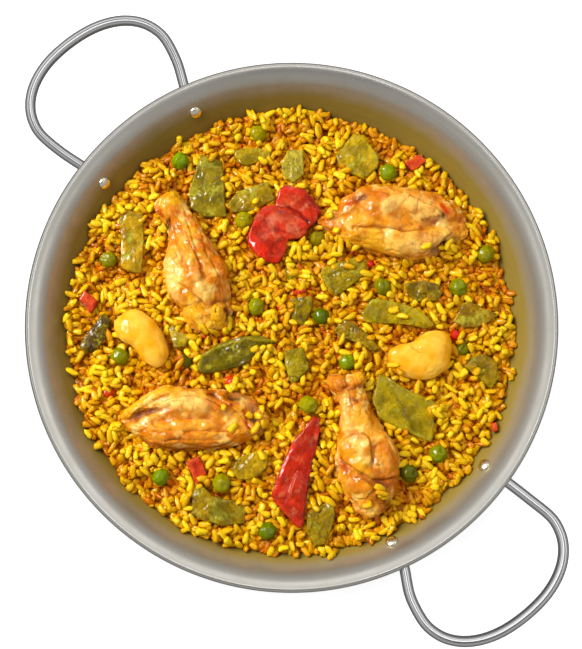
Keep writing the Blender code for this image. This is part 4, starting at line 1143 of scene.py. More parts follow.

# What shows on a piece: a path in pixels, its half width in pixels, its rise in mm, and a colour with its strength.
# The dark marks, sunk into holes, hollows and clefts, are painted shade; the brown ones that sink deep into grooves are
# partly painted shade.
MARKS = {
    "chicken_drumette": (
        (((175, 195), (172, 200)), 7, 0.8, "yellow", 0.8),
        (((160, 212), (163, 216)), 2.5, -0.3, "red", 0.8),
        (((179, 212),), 2.5, -0.3, "red", 0.7),
        (((168, 222), (167, 236)), 3, -1.2, "purple", 0.9),
        (((185, 232), (191, 246), (198, 262), (205, 277)), 2.2, -1.4, "orange", 0.95),
        (((176, 240), (182, 256), (186, 272)), 2, -0.9, "orange", 0.7),
        (((170, 262), (172, 288)), 7, 0.8, "cream", 0.8),
        (((197, 278), (203, 296)), 6, 0.8, "cream", 0.7),
        (((181, 240), (190, 260)), 4, 0.7, "pale", 0.7),
        (((209, 246), (220, 266), (226, 290)), 7, 0.3, "orange", 0.6),
        (((190, 306), (200, 322), (214, 326)), 8, 0.3, "yellow", 0.8),
        (((227, 308), (228, 318)), 3, -1.0, "purple", 0.9),
        (((214, 303), (228, 300)), 2.5, -0.8, "brown", 0.8),
        (((216, 310), (220, 322)), 5, 0.2, "yellow", 0.8),
        (((174, 218), (180, 232)), 4, 0.3, "gold", 0.6),
        (((175, 258),), 1.3, -0.3, "brown", 0.9),
        (((190, 304),), 3, 0.7, "cream", 0.4),
        (((197, 301),), 2.6, 0.8, "cream", 0.6),
        (((204, 307),), 3, 0.6, "yellow", 0.5),
        (((192, 314),), 3, 0.8, "yellow", 0.5),
        (((200, 316),), 3.2, 0.7, "cream", 0.4),
        (((191, 324),), 2.8, 0.8, "gold", 0.5),
        (((200, 324),), 3, 0.9, "cream", 0.5),
        (((209, 326),), 3, 0.7, "yellow", 0.6),
        (((217, 313),), 5, 1.2, "yellow", 0.8),
        (((224, 310), (228, 317)), 2, -0.8, "maroon", 0.8),
    ),
    "chicken_wing_right": (
        (((333, 209), (352, 199), (380, 193)), 6, 0.2, "orange", 0.8),
        (((370, 205), (384, 200)), 5, 0.3, "gold", 0.8),
        (((416, 193), (436, 200), (452, 214)), 5, 0.2, "gold", 0.8),
        (((388, 205), (404, 200), (424, 208), (440, 218)), 7, 0.8, "cream", 0.7),
        (((345, 240), (380, 246), (400, 248)), 8, 0.8, "yellow", 0.6),
        (((400, 244), (430, 244), (446, 238)), 8, 0.8, "cream", 0.6),
        (((352, 227), (384, 227), (412, 231), (436, 222)), 2, -0.9, "brown", 0.7),
        (((356, 200), (364, 197)), 3, -0.9, "dark", 0.8),
        (((350, 204), (358, 202)), 3, -0.3, "red", 0.7),
        (((441, 206), (447, 213)), 2, 0.5, "scarlet", 0.95),
        (((444, 216),), 2.5, -0.8, "dark", 0.9),
        (((434, 250), (446, 244), (455, 243)), 5, -1.3, "meat", 0.9),
        (((440, 245), (452, 240)), 2, -0.8, "dark", 0.7),
        (((412, 224),), 1.2, 0, "red", 0.9),
        (((412, 243),), 1.2, 0, "red", 0.9),
        (((425, 222), (438, 218)), 3, -0.4, "purple", 0.6),
        (((326, 226), (340, 214), (352, 210)), 5, 0.4, "gold", 0.6),
        (((372, 236),), 5, 0.3, "yellow", 0.7),
    ),
    "chicken_wing_left": (
        (((124, 415), (145, 399), (168, 388)), 4, 1.0, "yellow", 0.85),
        (((136, 417), (150, 411), (170, 407)), 2.8, -1.8, "brown", 0.95),
        (((146, 413), (152, 410)), 2, -0.5, "dark", 0.6),
        (((168, 404), (185, 400), (205, 404)), 6, 0.8, "cream", 0.85),
        (((160, 420), (184, 419), (212, 418)), 2, -0.9, "orange", 0.8),
        (((155, 432), (185, 433), (210, 430), (235, 432)), 2, -0.7, "orange", 0.7),
        (((150, 426), (180, 426), (215, 425)), 4, 0.4, "pale", 0.7),
        (((208, 404), (228, 408)), 6, 0.3, "orange", 0.7),
        (((208, 393), (213, 394)), 3, -0.4, "maroon", 0.9),
        (((228, 396), (240, 399)), 3.5, -1.2, "dark", 0.9),
        (((236, 392), (250, 396)), 3.5, -0.4, "meat", 0.8),
        (((231, 405),), 2.2, 0, "maroon", 0.9),
        (((244, 412), (249, 428)), 2, -0.3, "red", 0.9),
        (((252, 408), (258, 430)), 6, -0.5, "meat", 0.8),
        (((250, 418), (257, 424)), 2.2, -0.9, "dark", 0.7),
        (((140, 440), (160, 446), (190, 448), (225, 445)), 3, -0.2, "brown", 0.9),
        (((165, 440), (215, 440)), 4, 0.4, "gold", 0.5),
    ),
    "chicken_drumstick": (
        (((329, 379), (337, 381)), 6, 1.0, "orange", 0.6),
        (((357, 373), (364, 380)), 5, 1.0, "yellow", 0.7),
        (((343, 374), (346, 388)), 3, -1.4, "brown", 0.6),
        (((338, 386), (350, 390), (364, 386)), 2, -0.6, "brown", 0.6),
        (((354, 399), (358, 401)), 3, -0.6, "purple", 0.8),
        (((345, 396), (346, 428)), 4, 0.5, "cream", 0.7),
        (((360, 410), (368, 430)), 5, 0.2, "pale", 0.7),
        (((341, 450), (346, 438), (356, 434), (368, 436), (373, 448)), 1.5, -0.5, "orange", 0.9),
        (((372, 450), (373, 462), (371, 474)), 1.8, -0.5, "brown", 0.5),
        (((346, 445), (354, 455), (360, 468)), 7, 0.6, "yellow", 0.6),
        (((383, 446), (392, 460), (394, 472)), 7, 0.3, "orange", 0.7),
        (((378, 484), (392, 484)), 6, -0.4, "purple", 0.9),
        (((374, 479), (398, 479)), 1.6, -0.8, "dark", 0.8),
        (((341, 460), (346, 472)), 3, -0.9, "red", 0.8),
        (((336, 455), (337, 478)), 1.5, 0.6, "cream", 0.8),
        (((350, 484), (364, 486)), 6, 0.6, "gold", 0.8),
        (((360, 474), (372, 484), (380, 497)), 1.8, -1.1, "brown", 0.8),
        (((356, 508), (374, 511)), 5, 0.7, "cream", 0.6),
        (((382, 500), (390, 506)), 4, -0.5, "brown", 0.8),
        (((379, 465),), 1.2, -0.2, "dark", 0.9),
        (((356, 477),), 1.2, -0.2, "brown", 0.9),
        (((358, 486),), 8, 1.0, "gold", 0.6),
        (((386, 476), (396, 484), (397, 496)), 6, 0, "orange", 0.8),
        (((376, 500), (386, 506)), 5, -0.3, "brown", 0.7),
        (((340, 382), (346, 388)), 5, 0.3, "orange", 0.5),
        (((386, 434), (396, 452)), 1.5, 0.4, "cream", 0.6),
    ),
    "red_pepper_back": (
        (((281, 190), (296, 192)), 4, 0.3, "scarlet", 0.8),
        (((308, 196), (318, 208), (319, 218)), 1.5, -0.3, "maroon", 0.7),
        (((289, 208), (300, 214), (308, 222)), 2, -1.0, "maroon", 0.8),
        (((286, 200), (296, 203)), 5, 0, "coral", 0.35),
    ),
    "red_pepper_front": (
        (((252, 242), (262, 252), (272, 262)), 7, 0.2, "scarlet", 0.9),
        (((256, 226), (262, 216), (268, 211)), 3, 0.5, "scarlet", 0.5),
        (((276, 214), (292, 222)), 5, 0.2, "coral", 0.4),
        (((268, 262), (272, 248), (282, 240)), 2.5, -0.15, "maroon", 0.5),
        (((292, 238), (304, 234)), 4, 0.3, "coral", 0.4),
        (((260, 234), (276, 229), (296, 236)), 1.5, -0.1, "maroon", 0.4),
    ),
    "red_pepper_strip": (
        (((276, 494), (284, 470), (294, 446)), 2, 0.6, "scarlet", 0.8),
        (((290, 498), (297, 476)), 1.6, 0.6, "coral", 0.4),
        (((313, 440), (306, 475), (302, 515)), 4, -0.3, "maroon", 0.5),
        (((286, 490), (292, 470)), 4, -0.4, "crimson", 0.6),
        (((314, 422), (306, 440)), 5, 0, "maroon", 0.4),
    ),
    "green_12": (
        (((198, 366), (203, 356), (220, 346), (246, 339), (272, 341)), 1.5, 0.5, "lime", 0.6),
        (((210, 366), (232, 358), (256, 348)), 5, 0.2, "leaf", 0.35),
        (((206, 372), (230, 367), (256, 354)), 2.5, -0.4, "moss", 0.8),
    ),
    "green_17": (
        (((380, 380), (400, 394), (434, 408)), 4, 0.3, "leaf", 0.5),
        (((388, 384), (398, 400), (416, 432)), 2, -0.5, "moss", 0.5),
        (((374, 404), (395, 424), (428, 440)), 1.5, 0.3, "lime", 0.5),
    ),
    "green_20": ((((222, 504), (216, 512), (228, 518)), 5, -0.6, "moss", 0.6),),
    "green_07": ((((330, 276), (346, 268), (358, 266)), 2, -0.5, "moss", 0.6),),
}


def make_joint(name, groove, stations, coat, seed):
    """A chicken joint: a skin over ovals along its middle line, with its folds, wrinkles and stains, and painted shade
    on its undersides and in its creases.
    """
    knots = np.array(stations, float)
    for end, beside in ((0, 1), (-1, -2)):
        tip = knots[end].copy()
        tip[:2] += CHICKEN_TIP_REACH * (knots[end][:2] - knots[beside][:2])
        tip[2:] = knots[end][2:] * CHICKEN_TIP_SHARES
        knots = np.vstack((tip, knots)) if end == 0 else np.vstack((knots, tip))
    rows = through(knots, CHICKEN_RINGS)
    middles = spots(rows[:, :2])
    along = np.gradient(middles, axis=0)
    along /= np.linalg.norm(along, axis=1)[:, None]
    across = np.stack((-along[:, 1], along[:, 0]), -1)
    turns = math.tau * (np.arange(CHICKEN_SIDES) + 0.5) / CHICKEN_SIDES
    aside = np.copysign(np.abs(np.cos(turns)) ** CHICKEN_OVAL, np.cos(turns))
    upper = np.sin(turns) > 0
    valley = groove * np.exp(-((aside / CHICKEN_GROOVE_WIDTH) ** 2))
    rise = np.where(upper, np.sin(turns) * (1 - CHICKEN_WAIST) * (1 - valley), np.sin(turns) * CHICKEN_WAIST)
    rings = []
    for row, middle, side in zip(rows, middles, across):
        _, _, half, height, sink = row
        flat = middle + side * (half * PIXEL * aside)[:, None]
        base = rice_height(*middle) - sink * MM
        rings.append(np.column_stack((flat, base + height * MM * (CHICKEN_WAIST + rise))))
    points, faces = lofted(rings)
    normals = normals_of(points, faces)
    upward = np.clip(normals[:, 2] * 1.5 + 0.75, 0, 1)
    length = along[len(along) // 2]
    stretched = points.copy()
    stretched[:, :2] -= (points[:, :2] @ length)[:, None] * length * 0.6
    swell = ripples(points, (1.5, 12, seed), (0.9, 5.5, seed + 1))
    patch = np.clip(0.5 + ripples(points, (3, 10, seed + 8)), 0, 1)
    folds = creases(stretched, 8 * MM, 0.055, seed + 2) * patch
    wrinkles = creases(stretched, 3.6 * MM, 0.09, seed + 3) * (1 - 0.6 * patch)
    grain = ripples(points, (0.45, 2.6, seed + 4), (0.25, 1.3, seed + 5))
    points = points + normals * ((swell - 0.7 * folds - 0.36 * wrinkles + grain) * upward * MM)[:, None]
    warmth = 0.5 + ripples(points, (1.5, 8, seed + 6)) + ripples(stretched, (0.8, 2.5, seed + 7))
    tones = tinted(PALETTE["pale"], PALETTE["gold"], warmth)
    tones = tinted(tones, PALETTE["cream"], ripples(points, (2.4, 7, seed + 9), (1.2, 2.5, seed + 10)) - 0.2)
    rusty = ripples(points, (1.8, 6, seed + 11)) + ripples(stretched, (0.8, 2, seed + 12)) - 0.3
    # Orange in random patches, and painted orange shade where the skin faces down.
    tones = tinted(tones, PALETTE["orange"], np.maximum(rusty, 1.5 - 3.2 * upward) * 0.85)
    # Painted brown shade in the folds and wrinkles.
    tones = tinted(tones, PALETTE["brown"], 0.35 * folds + 0.16 * wrinkles)
    points, tones = as_photographed(name, points, faces, tones)
    joint = make_piece(name + "_skin", points, faces, coat, tones)
    finish(joint, "chicken", name)
    return joint


def slab_rings(edge, thickness, crown):
    """Rings, in plan and height, over the top of a flat piece, round its edge and back below it."""
    over = [(share, thickness + crown * (1 - share**2.4)) for share in SLAB_SHARES]
    round_edge = [(share, level * thickness) for share, level in SLAB_EDGE]
    under = [(share, crown * (1 - share**2.4)) for share in SLAB_SHARES[::-2]]
    return [np.column_stack((edge * share, np.full(len(edge), level))) for share, level in over + round_edge + under]


def make_slab(name, outline, thickness, crown, coat, tone, rim_tone, patch_tone, crumple, seed, slot):
    """A flat piece of vegetable: a wavy sheet, more or less crumpled, with rounded edges and painted shade in its
    folds.
    """
    middle = spots(outline).mean(0)
    edge = plan_outline(outline, SLAB_SIDES, SLAB_STRAIGHTNESS) - middle
    ragged = ripple(np.column_stack((edge, np.zeros(len(edge)))), 3 * MM, seed)
    nicked = ripple(np.column_stack((edge, np.ones(len(edge)))), 1.4 * MM, seed)
    edge *= (1 + 0.035 * ragged + 0.025 * nicked)[:, None]
    points, faces = lofted(slab_rings(edge, thickness, crown))
    top = points[:, 2] > 0.5 * thickness
    reach = np.ones(len(points))
    reach[:len(SLAB_SHARES) * SLAB_SIDES] = np.repeat(SLAB_SHARES, SLAB_SIDES)
    reach[-2:] = 0
    points[:, :2] += middle
    flat = np.column_stack((points[:, :2], np.full(len(points), 0.1)))
    wave = np.array([noise.noise(Vector(p) / SLAB_WAVE_LENGTH) for p in flat])
    folds = creases(flat, 6 * MM, 0.07, seed + 6) * np.clip(2.5 * ripple(flat, 8 * MM, seed + 7), 0, 1)
    fine = ripples(flat, (0.5, 2.4, seed + 1), (0.15, 1, seed + 8))
    pucker = crumple * (0.8 * ripple(flat, 5 * MM, seed) + np.where(top, fine - 0.7 * folds, 0))
    curl = 1.3 * reach**3 * ripple(flat, 14 * MM, seed + 2)
    points[:, 2] += SLAB_WAVE * wave + (pucker + curl) * MM + rice_height(*middle) - SLAB_SINK + SLAB_LIFTS.get(name, 0)
    tone = np.array(tone)
    mottle = 0.5 + ripples(flat, (1.5, 6, seed + 3), (0.7, 1.4, seed + 4))
    # Mottled tone, darkened in the folds by painted shade.
    tones = tinted(tinted(tone * 0.7, tone * 1.3, mottle), tone * 0.45, 0.6 * crumple * folds)
    tones = tinted(tones, rim_tone, np.where(top, (reach - 0.9) * 5, 0.5) * (0.5 + ripple(flat, 5 * MM, seed + 5)))
    # Paler patches on the top, rose on the peppers and sage on the greens; on the peppers they are partly a painted
    # hazy sheen.
    pale_patches = ripples(flat, (1.6, 6, seed + 9), (0.9, 1.8, seed + 10)) - 0.25
    tones = tinted(tones, patch_tone, np.where(top, pale_patches, 0))
    points, tones = as_photographed(name, points, faces, tones)
    slab = make_piece(name + "_flesh", points, faces, coat, np.clip(tones, 0, 1))
    finish(slab, slot, name)
    return slab


def make_dice(name, outline, coat, seed):
    """A cut cube of red pepper with softened edges."""
    middle = spots(outline).mean(0)
    edge = plan_outline(outline, DICE_SIDES, DICE_STRAIGHTNESS) - middle
    rings = []
    for share, level in DICE_RINGS:
        rings.append(np.column_stack((edge * share, np.full(DICE_SIDES, level * DICE_THICKNESS))))
    points, faces = lofted(rings)
    points[:, :2] += middle
    points[:, 2] += rice_height(*middle) - DICE_SINK
    points += 0.5 * MM * np.stack([ripple(points, 4 * MM, seed + k) for k in range(3)], -1)
    bright = 0.65 + 1.5 * ripple(points, 4 * MM, seed + 5)
    tones = tinted(PALETTE["crimson"], PALETTE["coral"], bright)
    tones = tinted(tones, PALETTE["maroon"], 1.5 * ripple(points, 5 * MM, seed + 6))
    die = make_piece(name + "_flesh", points, faces, coat, tones)
    finish(die, "red_pepper", name)
    return die


def ball(sides, rows):
    """(points, faces) of a ball of radius 1, with its poles on the X axis."""
    turns = round_turn(sides)
    rings = []
    for k in range(1, rows):
        down = math.pi * k / rows
        girth = math.sin(down)
        rings.append(np.column_stack((np.full(sides, math.cos(down)), girth * np.cos(turns), girth * np.sin(turns))))
    points, faces = lofted(rings)
    points[-2] = (1, 0, 0)
    points[-1] = (-1, 0, 0)
    return points, faces


def make_butter_beans(coat):
    """Plump wrinkled beans, honey-coloured in patches, with painted bronze shade in their folds and on their sides that
    face down towards the rice.
    """
    beans = []
    for number, outline in enumerate(BEANS, 1):
        name = f"butter_bean_{number}"
        middle = spots(outline).mean(0)
        edge = plan_outline(outline, BEAN_SIDES, BEAN_STRAIGHTNESS) - middle
        rings = []
        for turn in np.linspace(math.radians(4), math.radians(176), BEAN_RINGS):
            level = BEAN_HEIGHT * (0.3 + 0.55 * math.cos(turn))
            rings.append(np.column_stack((edge * math.sin(turn) ** 0.8, np.full(len(edge), level))))
        points, faces = lofted(rings)
        points += (*middle, rice_height(*middle))
        normals = normals_of(points, faces)
        swell = ripples(points, (0.7, 9, number), (0.16, 2.5, number + 5))
        folds = creases(points, 7 * MM, 0.05, number + 8) * np.clip(2 * ripple(points, 9 * MM, number + 9), 0, 1)
        points = points + normals * ((swell - 0.35 * folds) * MM)[:, None]
        mottle = 0.5 + ripples(points, (1.3, 8, number + 7), (0.5, 2.5, number + 6))
        tones = tinted(PALETTE["butter"], PALETTE["honey"], mottle)
        # Painted bronze shade where the skin faces down and in the folds.
        painted_shade = 0.8 - 1.6 * np.clip(normals[:, 2] + 0.4, 0, 1) + 0.25 * folds
        points, tones = as_photographed(name, points, faces, tinted(tones, PALETTE["bronze"], painted_shade))
        bean = make_piece(f"{name}_skin", points, faces, coat, tones)
        finish(bean, "butter_bean", name)
        beans.append(bean)
    return beans


def pea_shapes():
    """Cooked peas of radius 1: round, long, dented and puckered."""
    shapes = []
    for kind in range(PEA_SHAPES):
        points, faces = ball(PEA_SIDES, PEA_ROWS)
        sunk = np.zeros(len(points))
        for dent in PEA_DENTS[:kind]:
            distance = np.linalg.norm(points - np.array(dent.normalized()), axis=1)
            sunk += 0.16 * np.exp(-((distance / 0.32) ** 2)) - 0.04 * np.exp(-(((distance - 0.5) / 0.15) ** 2))
        puckered = 0.1 * np.array([noise.noise(Vector(p) * 2.2 + Vector((kind, 0, 5))) for p in points])
        shapes.append((points * (1 - sunk + puckered)[:, None], faces))
    return shapes


def make_peas(name, peas, sink, coat, *nodes):
    """A piece of peas, each turned and dented in its own way; those with no sink may lie on other pieces."""
    draw = random.Random(3)
    places = []
    for number, (x, y, olive, bright) in enumerate(peas):
        middle = spots([(x, y)])[0]
        height = rice_height(*middle) + 0.1 * PEA_DIAMETER - sink + (0 if sink else PEA_LIFTS.get(number, 0))
        tone = between(PEA_GREEN, PEA_OLIVE, olive) * bright**2
        places.append({
            "at": (*middle, height), "turn": [draw.uniform(-0.5, 0.5), draw.uniform(-0.5, 0.5), draw.uniform(-3, 3)],
            "size": [PEA_DIAMETER / 2 * draw.uniform(0.88, 1.03) for _ in range(3)], "pick": draw.randrange(PEA_SHAPES),
            "tone": (*tone, 1),
        })
    made = laid(name, pea_shapes(), places, coat, 0.9 * MM, 5 * MM)
    finish(made, "pea", *nodes)
    return made


# ---------------------------------------------------------------- rice

BED_DROP = 2.6 * MM
BED_SIDES = 180
BED_ROWS = 90
MAP_STEP = 0.5 * MM
MAP_REACH = 140 * MM
MOUND = 3.0 * MM  # how far the loose grains heap up and fall away
PACKED_GRAINS = 4600  # those half sunk in the bed
LOOSE_GRAINS = 5200  # those that lie on them in heaps
GRAIN_TRIES = 3
GRAIN_SIZE = np.array((7.4, 3.4, 2.7)) * MM
GRAIN_OVER_TOP = 2.0 * MM
GRAIN_PIECES = 5
GRAIN_TURNS = 24
PACKED_SINK = 0.9  # the share of its footprint that a packed grain presses into what it lies on
LOOSE_SINK = 0.45  # and a loose one
WALL_PRESS = 0.2 * MM  # how deep a grain or bit may press into the pan's wall
EDGE_PLACE = 0.13  # the radius at which the height of the rice's edge is taken
EDGE_WANDER = 4.5  # in mm
EDGE_INSET = 1.5  # in mm
TILT_LIMIT = 0.7
BED_GAP = 1.5 * CLEARANCE  # between the bed and the pan
GRAIN_SIDES = 7
GRAIN_STATIONS = (0.97, 0.82, 0.45, 0, -0.45, -0.82, -0.97)  # shares of its half length
GRAIN_KINDS = (  # how bent each is, how much it tapers, how long and how blunt it is
    (0.14, 0.10, 1.0, 4), (-0.18, 0.05, 1.0, 3), (0.05, 0.25, 1.08, 5), (0.22, -0.16, 0.95, 4),
    (0.0, 0.05, 0.66, 5), (-0.1, 0.2, 1.12, 3), (0.04, 0.34, 0.82, 6), (0.3, 0.0, 1.02, 5),
)
FLECKS = 90
FLECK_REACH = 0.122  # from the pan's axis
STRAY_PIXELS = (  # where a grain lies on another piece or stands out
    (225, 408), (234, 428), (404, 380), (381, 372), (205, 330), (196, 160), (214, 158), (349, 268), (256, 203),
    (262, 455), (316, 508), (424, 250), (393, 311), (402, 317), (476, 372), (438, 410), (258, 356), (262, 350),
    (266, 355), (255, 350), (270, 349), (291, 244), (297, 247), (302, 243), (306, 249), (293, 252), (299, 254),
    (377, 490), (366, 504), (393, 502), (380, 494), (230, 326), (226, 331), (214, 332), (432, 408), (436, 414),
    (440, 408), (430, 414), (398, 372), (392, 366), (122, 210), (130, 208), (441, 249), (447, 246), (453, 250),
    (262, 410), (258, 416), (264, 424), (256, 428), (250, 416), (330, 502), (336, 232), (340, 242), (348, 244),
    (330, 213), (334, 209), (329, 218), (378, 487), (384, 496), (380, 492), (355, 248), (340, 250),
)


def map_axis():
    """The places of a map's columns, and of its rows."""
    return np.arange(-MAP_REACH, MAP_REACH + MAP_STEP / 2, MAP_STEP)


def over_and_under(pieces):
    """Maps of the top and the underside of what lies on the rice, nan where nothing does."""
    axis = map_axis()
    top = np.full((len(axis), len(axis)), np.nan)
    under = top.copy()
    for piece in pieces:
        mesh = piece.data
        points = [v.co.copy() for v in mesh.vertices]
        tree = BVHTree.FromPolygons(points, [tuple(p.vertices) for p in mesh.polygons])
        low = np.min(points, 0)
        high = np.max(points, 0)
        columns = np.flatnonzero((axis > low[0]) & (axis < high[0]))
        rows = np.flatnonzero((axis > low[1]) & (axis < high[1]))
        for i in rows:
            for j in columns:
                hit = tree.ray_cast(Vector((axis[j], axis[i], 0.1)), Vector((0, 0, -1)))[0]
                if hit is not None:
                    below = tree.ray_cast(Vector((axis[j], axis[i], 0)), Vector((0, 0, 1)))[0]
                    top[i, j] = np.fmax(top[i, j], hit.z)
                    under[i, j] = np.fmin(under[i, j], below.z)
    return top, under


def mound(x, y):
    """How far the loose rice heaps above its mean height at a place, or falls below it."""
    broad = noise.noise(Vector((x, y, 0.3)) / (17 * MM))
    small = noise.noise(Vector((x, y, 0.6)) / (7 * MM))
    return MOUND * (broad + 0.6 * small)


def bed_map(under):
    """The height of the bed that the loose grains lie on, up to the underside of the toppings."""
    axis = map_axis()
    bed = np.empty((len(axis), len(axis)))
    for i, y in enumerate(axis):
        for j, x in enumerate(axis):
            radius = math.hypot(x, y)
            bed[i, j] = max(rice_height(x, y) + mound(x, y) - BED_DROP, wall_height(radius))
    lifted = np.fmin(under - 0.3 * MM, bed + BED_DROP + 4 * MM)
    return np.fmax(bed, np.where(np.isnan(under), -1, lifted))


def map_cell(x, y):
    """The row and the column of a map in which a place lies."""
    return int(round((y + MAP_REACH) / MAP_STEP)), int(round((x + MAP_REACH) / MAP_STEP))


def looked_up(field, x, y):
    """The value of a map at a place, or at the nearest place that it covers."""
    i, j = map_cell(x, y)
    return field[min(max(i, 0), len(field) - 1), min(max(j, 0), len(field) - 1)]


def make_bed(bed, coat):
    """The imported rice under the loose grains, down to the pan."""
    turns = round_turn(BED_SIDES)
    rings = []
    for share in np.linspace(0.01, 1, BED_ROWS):
        ring = []
        for turn in turns:
            out = np.array((math.cos(turn), math.sin(turn)))
            edge = wall_radius(plane_height(*(out * wall_radius(RICE_LEVEL))) - BED_DROP) - BED_GAP
            x, y = out * edge * share
            ring.append((x, y, looked_up(bed, x, y)))
        rings.append(ring)
    rings[-1] = [(x, y, wall_height(math.hypot(x, y) + BED_GAP)) for x, y, _ in rings[-1]]
    for point, slope in reversed(wall_stations(4)[:5]):
        inset = point + slope_normal(slope) * BED_GAP
        rings.append(np.column_stack((inset.x * np.cos(turns), inset.x * np.sin(turns), np.full(BED_SIDES, inset.y))))
    points, faces = lofted(rings)
    relief = ripples(points, (0.9, 4, 21), (0.5, 2, 22))
    upper = np.arange(len(points)) < (BED_ROWS - 2) * BED_SIDES
    points[:, 2] += np.where(upper, relief - 0.6, 0) * MM
    piece = make_piece("rice_bed", points, faces, coat)
    finish(piece, "rice", "rice")
    return piece


def grain_shapes():
    """Cooked grains, 1 long: plump, blunt, bent, tapered at one end or broken short."""
    turns = round_turn(GRAIN_SIDES)
    wide, high = (np.copysign(np.abs(way) ** 0.8, way) for way in (np.cos(turns), np.sin(turns)))
    shapes = []
    for bend, taper, length, bluntness in GRAIN_KINDS:
        rings = []
        for along in GRAIN_STATIONS:
            girth = (1 - abs(along) ** bluntness) ** 0.5 * (1 + taper * along)
            lean = bend * (along**2 - 0.35)
            rings.append(np.column_stack((np.full(GRAIN_SIDES, along * length), girth * wide + lean, girth * high)))
        points, faces = lofted(rings)
        lumps = np.array([noise.noise(Vector(p) * 2.0 + Vector((0, 0, len(shapes) * 9))) for p in points])
        shapes.append((0.5 * points * (1 + 0.3 * lumps)[:, None], faces))
    return shapes


def footprints():
    """For each of a grain's directions: the map cells that it covers, their place along it and its half height."""
    reach = int(math.ceil(0.55 * GRAIN_SIZE[0] / MAP_STEP))
    offset = np.arange(-reach, reach + 1)
    down, right = np.meshgrid(offset, offset, indexing="ij")
    prints = []
    for k in range(GRAIN_TURNS):
        turn = math.pi * k / GRAIN_TURNS
        along = (right * math.cos(turn) + down * math.sin(turn)) * MAP_STEP
        across = (down * math.cos(turn) - right * math.sin(turn)) * MAP_STEP
        share = (2 * along / GRAIN_SIZE[0]) ** 2 + (2 * across / GRAIN_SIZE[1]) ** 2
        inside = share < 1
        half = 0.5 * GRAIN_SIZE[2] * np.sqrt(1 - share[inside])
        prints.append((turn, down[inside], right[inside], along[inside], half))
    return prints


def settled(heights, prints, x, y, kind, sink):
    """How a grain comes to rest at a place: its height, its tilt, and the map cells that it covers."""
    i, j = map_cell(x, y)
    _, down, right, along, half = prints[kind]
    rows, columns = i + down, j + right
    ground = heights[rows, columns]
    ends = along > 0.2 * GRAIN_SIZE[0]
    starts = along < -0.2 * GRAIN_SIZE[0]
    tilt = (ground[ends].max() - ground[starts].max()) / (0.75 * GRAIN_SIZE[0])
    tilt = min(max(tilt, -TILT_LIMIT), TILT_LIMIT)
    rest = ground - tilt * along + half
    sunk = max(int(sink * len(rest)), 1)
    return np.partition(rest, -sunk)[-sunk], tilt, rows, columns, along, half


def laid_grain(heights, draw, prints, shade, x, y, kind, level, tilt, cells):
    """Adds a settled grain to the map, and gives its place."""
    rows, columns, along, half = cells
    heights[rows, columns] = np.maximum(heights[rows, columns], level + tilt * along + half)
    turn = prints[kind][0] + (math.pi if draw.random() < 0.5 else 0)
    lean = tilt if turn < math.pi else -tilt
    shade += 0.1 * draw.gauss(0, 1) + 0.28 * noise.noise(Vector((x, y, 0.05)) / (12 * MM))
    stretch = draw.uniform(0.72, 1.14)
    girth = draw.uniform(0.84, 1.2)
    return {
        "at": (x, y, level), "turn": (draw.uniform(-0.6, 0.6), draw.gauss(0, 0.25) - math.atan(lean), turn),
        "size": tuple(GRAIN_SIZE * (stretch, girth, draw.uniform(0.85, 1.1))), "pick": draw.randrange(len(GRAIN_KINDS)),
        "shade": min(max(shade, 0), 1),
    }


def lay_rice(heights, top):
    """The grains: those packed into the bed, then the loose ones, each at the lowest of a few places tried."""
    draw = random.Random(8)
    prints = footprints()
    places = []
    for number in range(PACKED_GRAINS + LOOSE_GRAINS):
        loose = number >= PACKED_GRAINS
        best = None
        for _ in range(1 if loose else GRAIN_TRIES):
            turn = math.tau * draw.random()
            edge = wall_radius(plane_height(math.cos(turn) * EDGE_PLACE, math.sin(turn) * EDGE_PLACE))
            edge += (noise.noise(Vector((math.cos(turn), math.sin(turn), 0)) * 9) * EDGE_WANDER - EDGE_INSET) * MM
            radius = edge * math.sqrt(draw.random())
            x, y = radius * math.cos(turn), radius * math.sin(turn)
            if loose and mound(x, y) < draw.gauss(-0.1, 0.25) * MOUND:
                continue
            lie = 1.6 * noise.noise(Vector((x, y, 0.9)) / (12 * MM)) + draw.gauss(0, 0.16 if loose else 0.4)
            kind = int(lie * GRAIN_TURNS) % GRAIN_TURNS
            level, tilt, *cells = settled(heights, prints, x, y, kind, LOOSE_SINK if loose else PACKED_SINK)
            on_rice = np.isnan(looked_up(top, x, y))
            over = level - rice_height(x, y) - (mound(x, y) if on_rice else 0.5 * MM)
            if over < GRAIN_OVER_TOP and (best is None or over < best[0]):
                best = (over, x, y, kind, level, tilt, cells)
        if best is not None:
            shade = 0.63 + 0.07 * best[0] / MM if loose else 0.45
            places.append(laid_grain(heights, draw, prints, shade, *best[1:]))
    for x, y in spots(STRAY_PIXELS):
        kind = draw.randrange(GRAIN_TURNS)
        level, tilt, *cells = settled(heights, prints, x, y, kind, LOOSE_SINK)
        places.append(laid_grain(heights, draw, prints, 0.75, x, y, kind, level, tilt, cells))
    return places


def kept_inside(place, shapes):
    """Draws a grain or bit that reaches into the pan's wall back inside it."""
    points = shapes[place["pick"]][0] * place["size"]
    points = points @ np.array(Euler(place["turn"]).to_matrix()).T + place["at"]
    past = (np.hypot(points[:, 0], points[:, 1]) - wall_radius(points[:, 2])) * math.sin(WALL_SLOPE)
    deep = past.max() - WALL_PRESS
    if deep > 0:
        x, y, z = place["at"]
        inward = 1 - deep * math.sin(WALL_SLOPE) / math.hypot(x, y)
        place["at"] = (x * inward, y * inward, z + deep * math.cos(WALL_SLOPE))
    return place


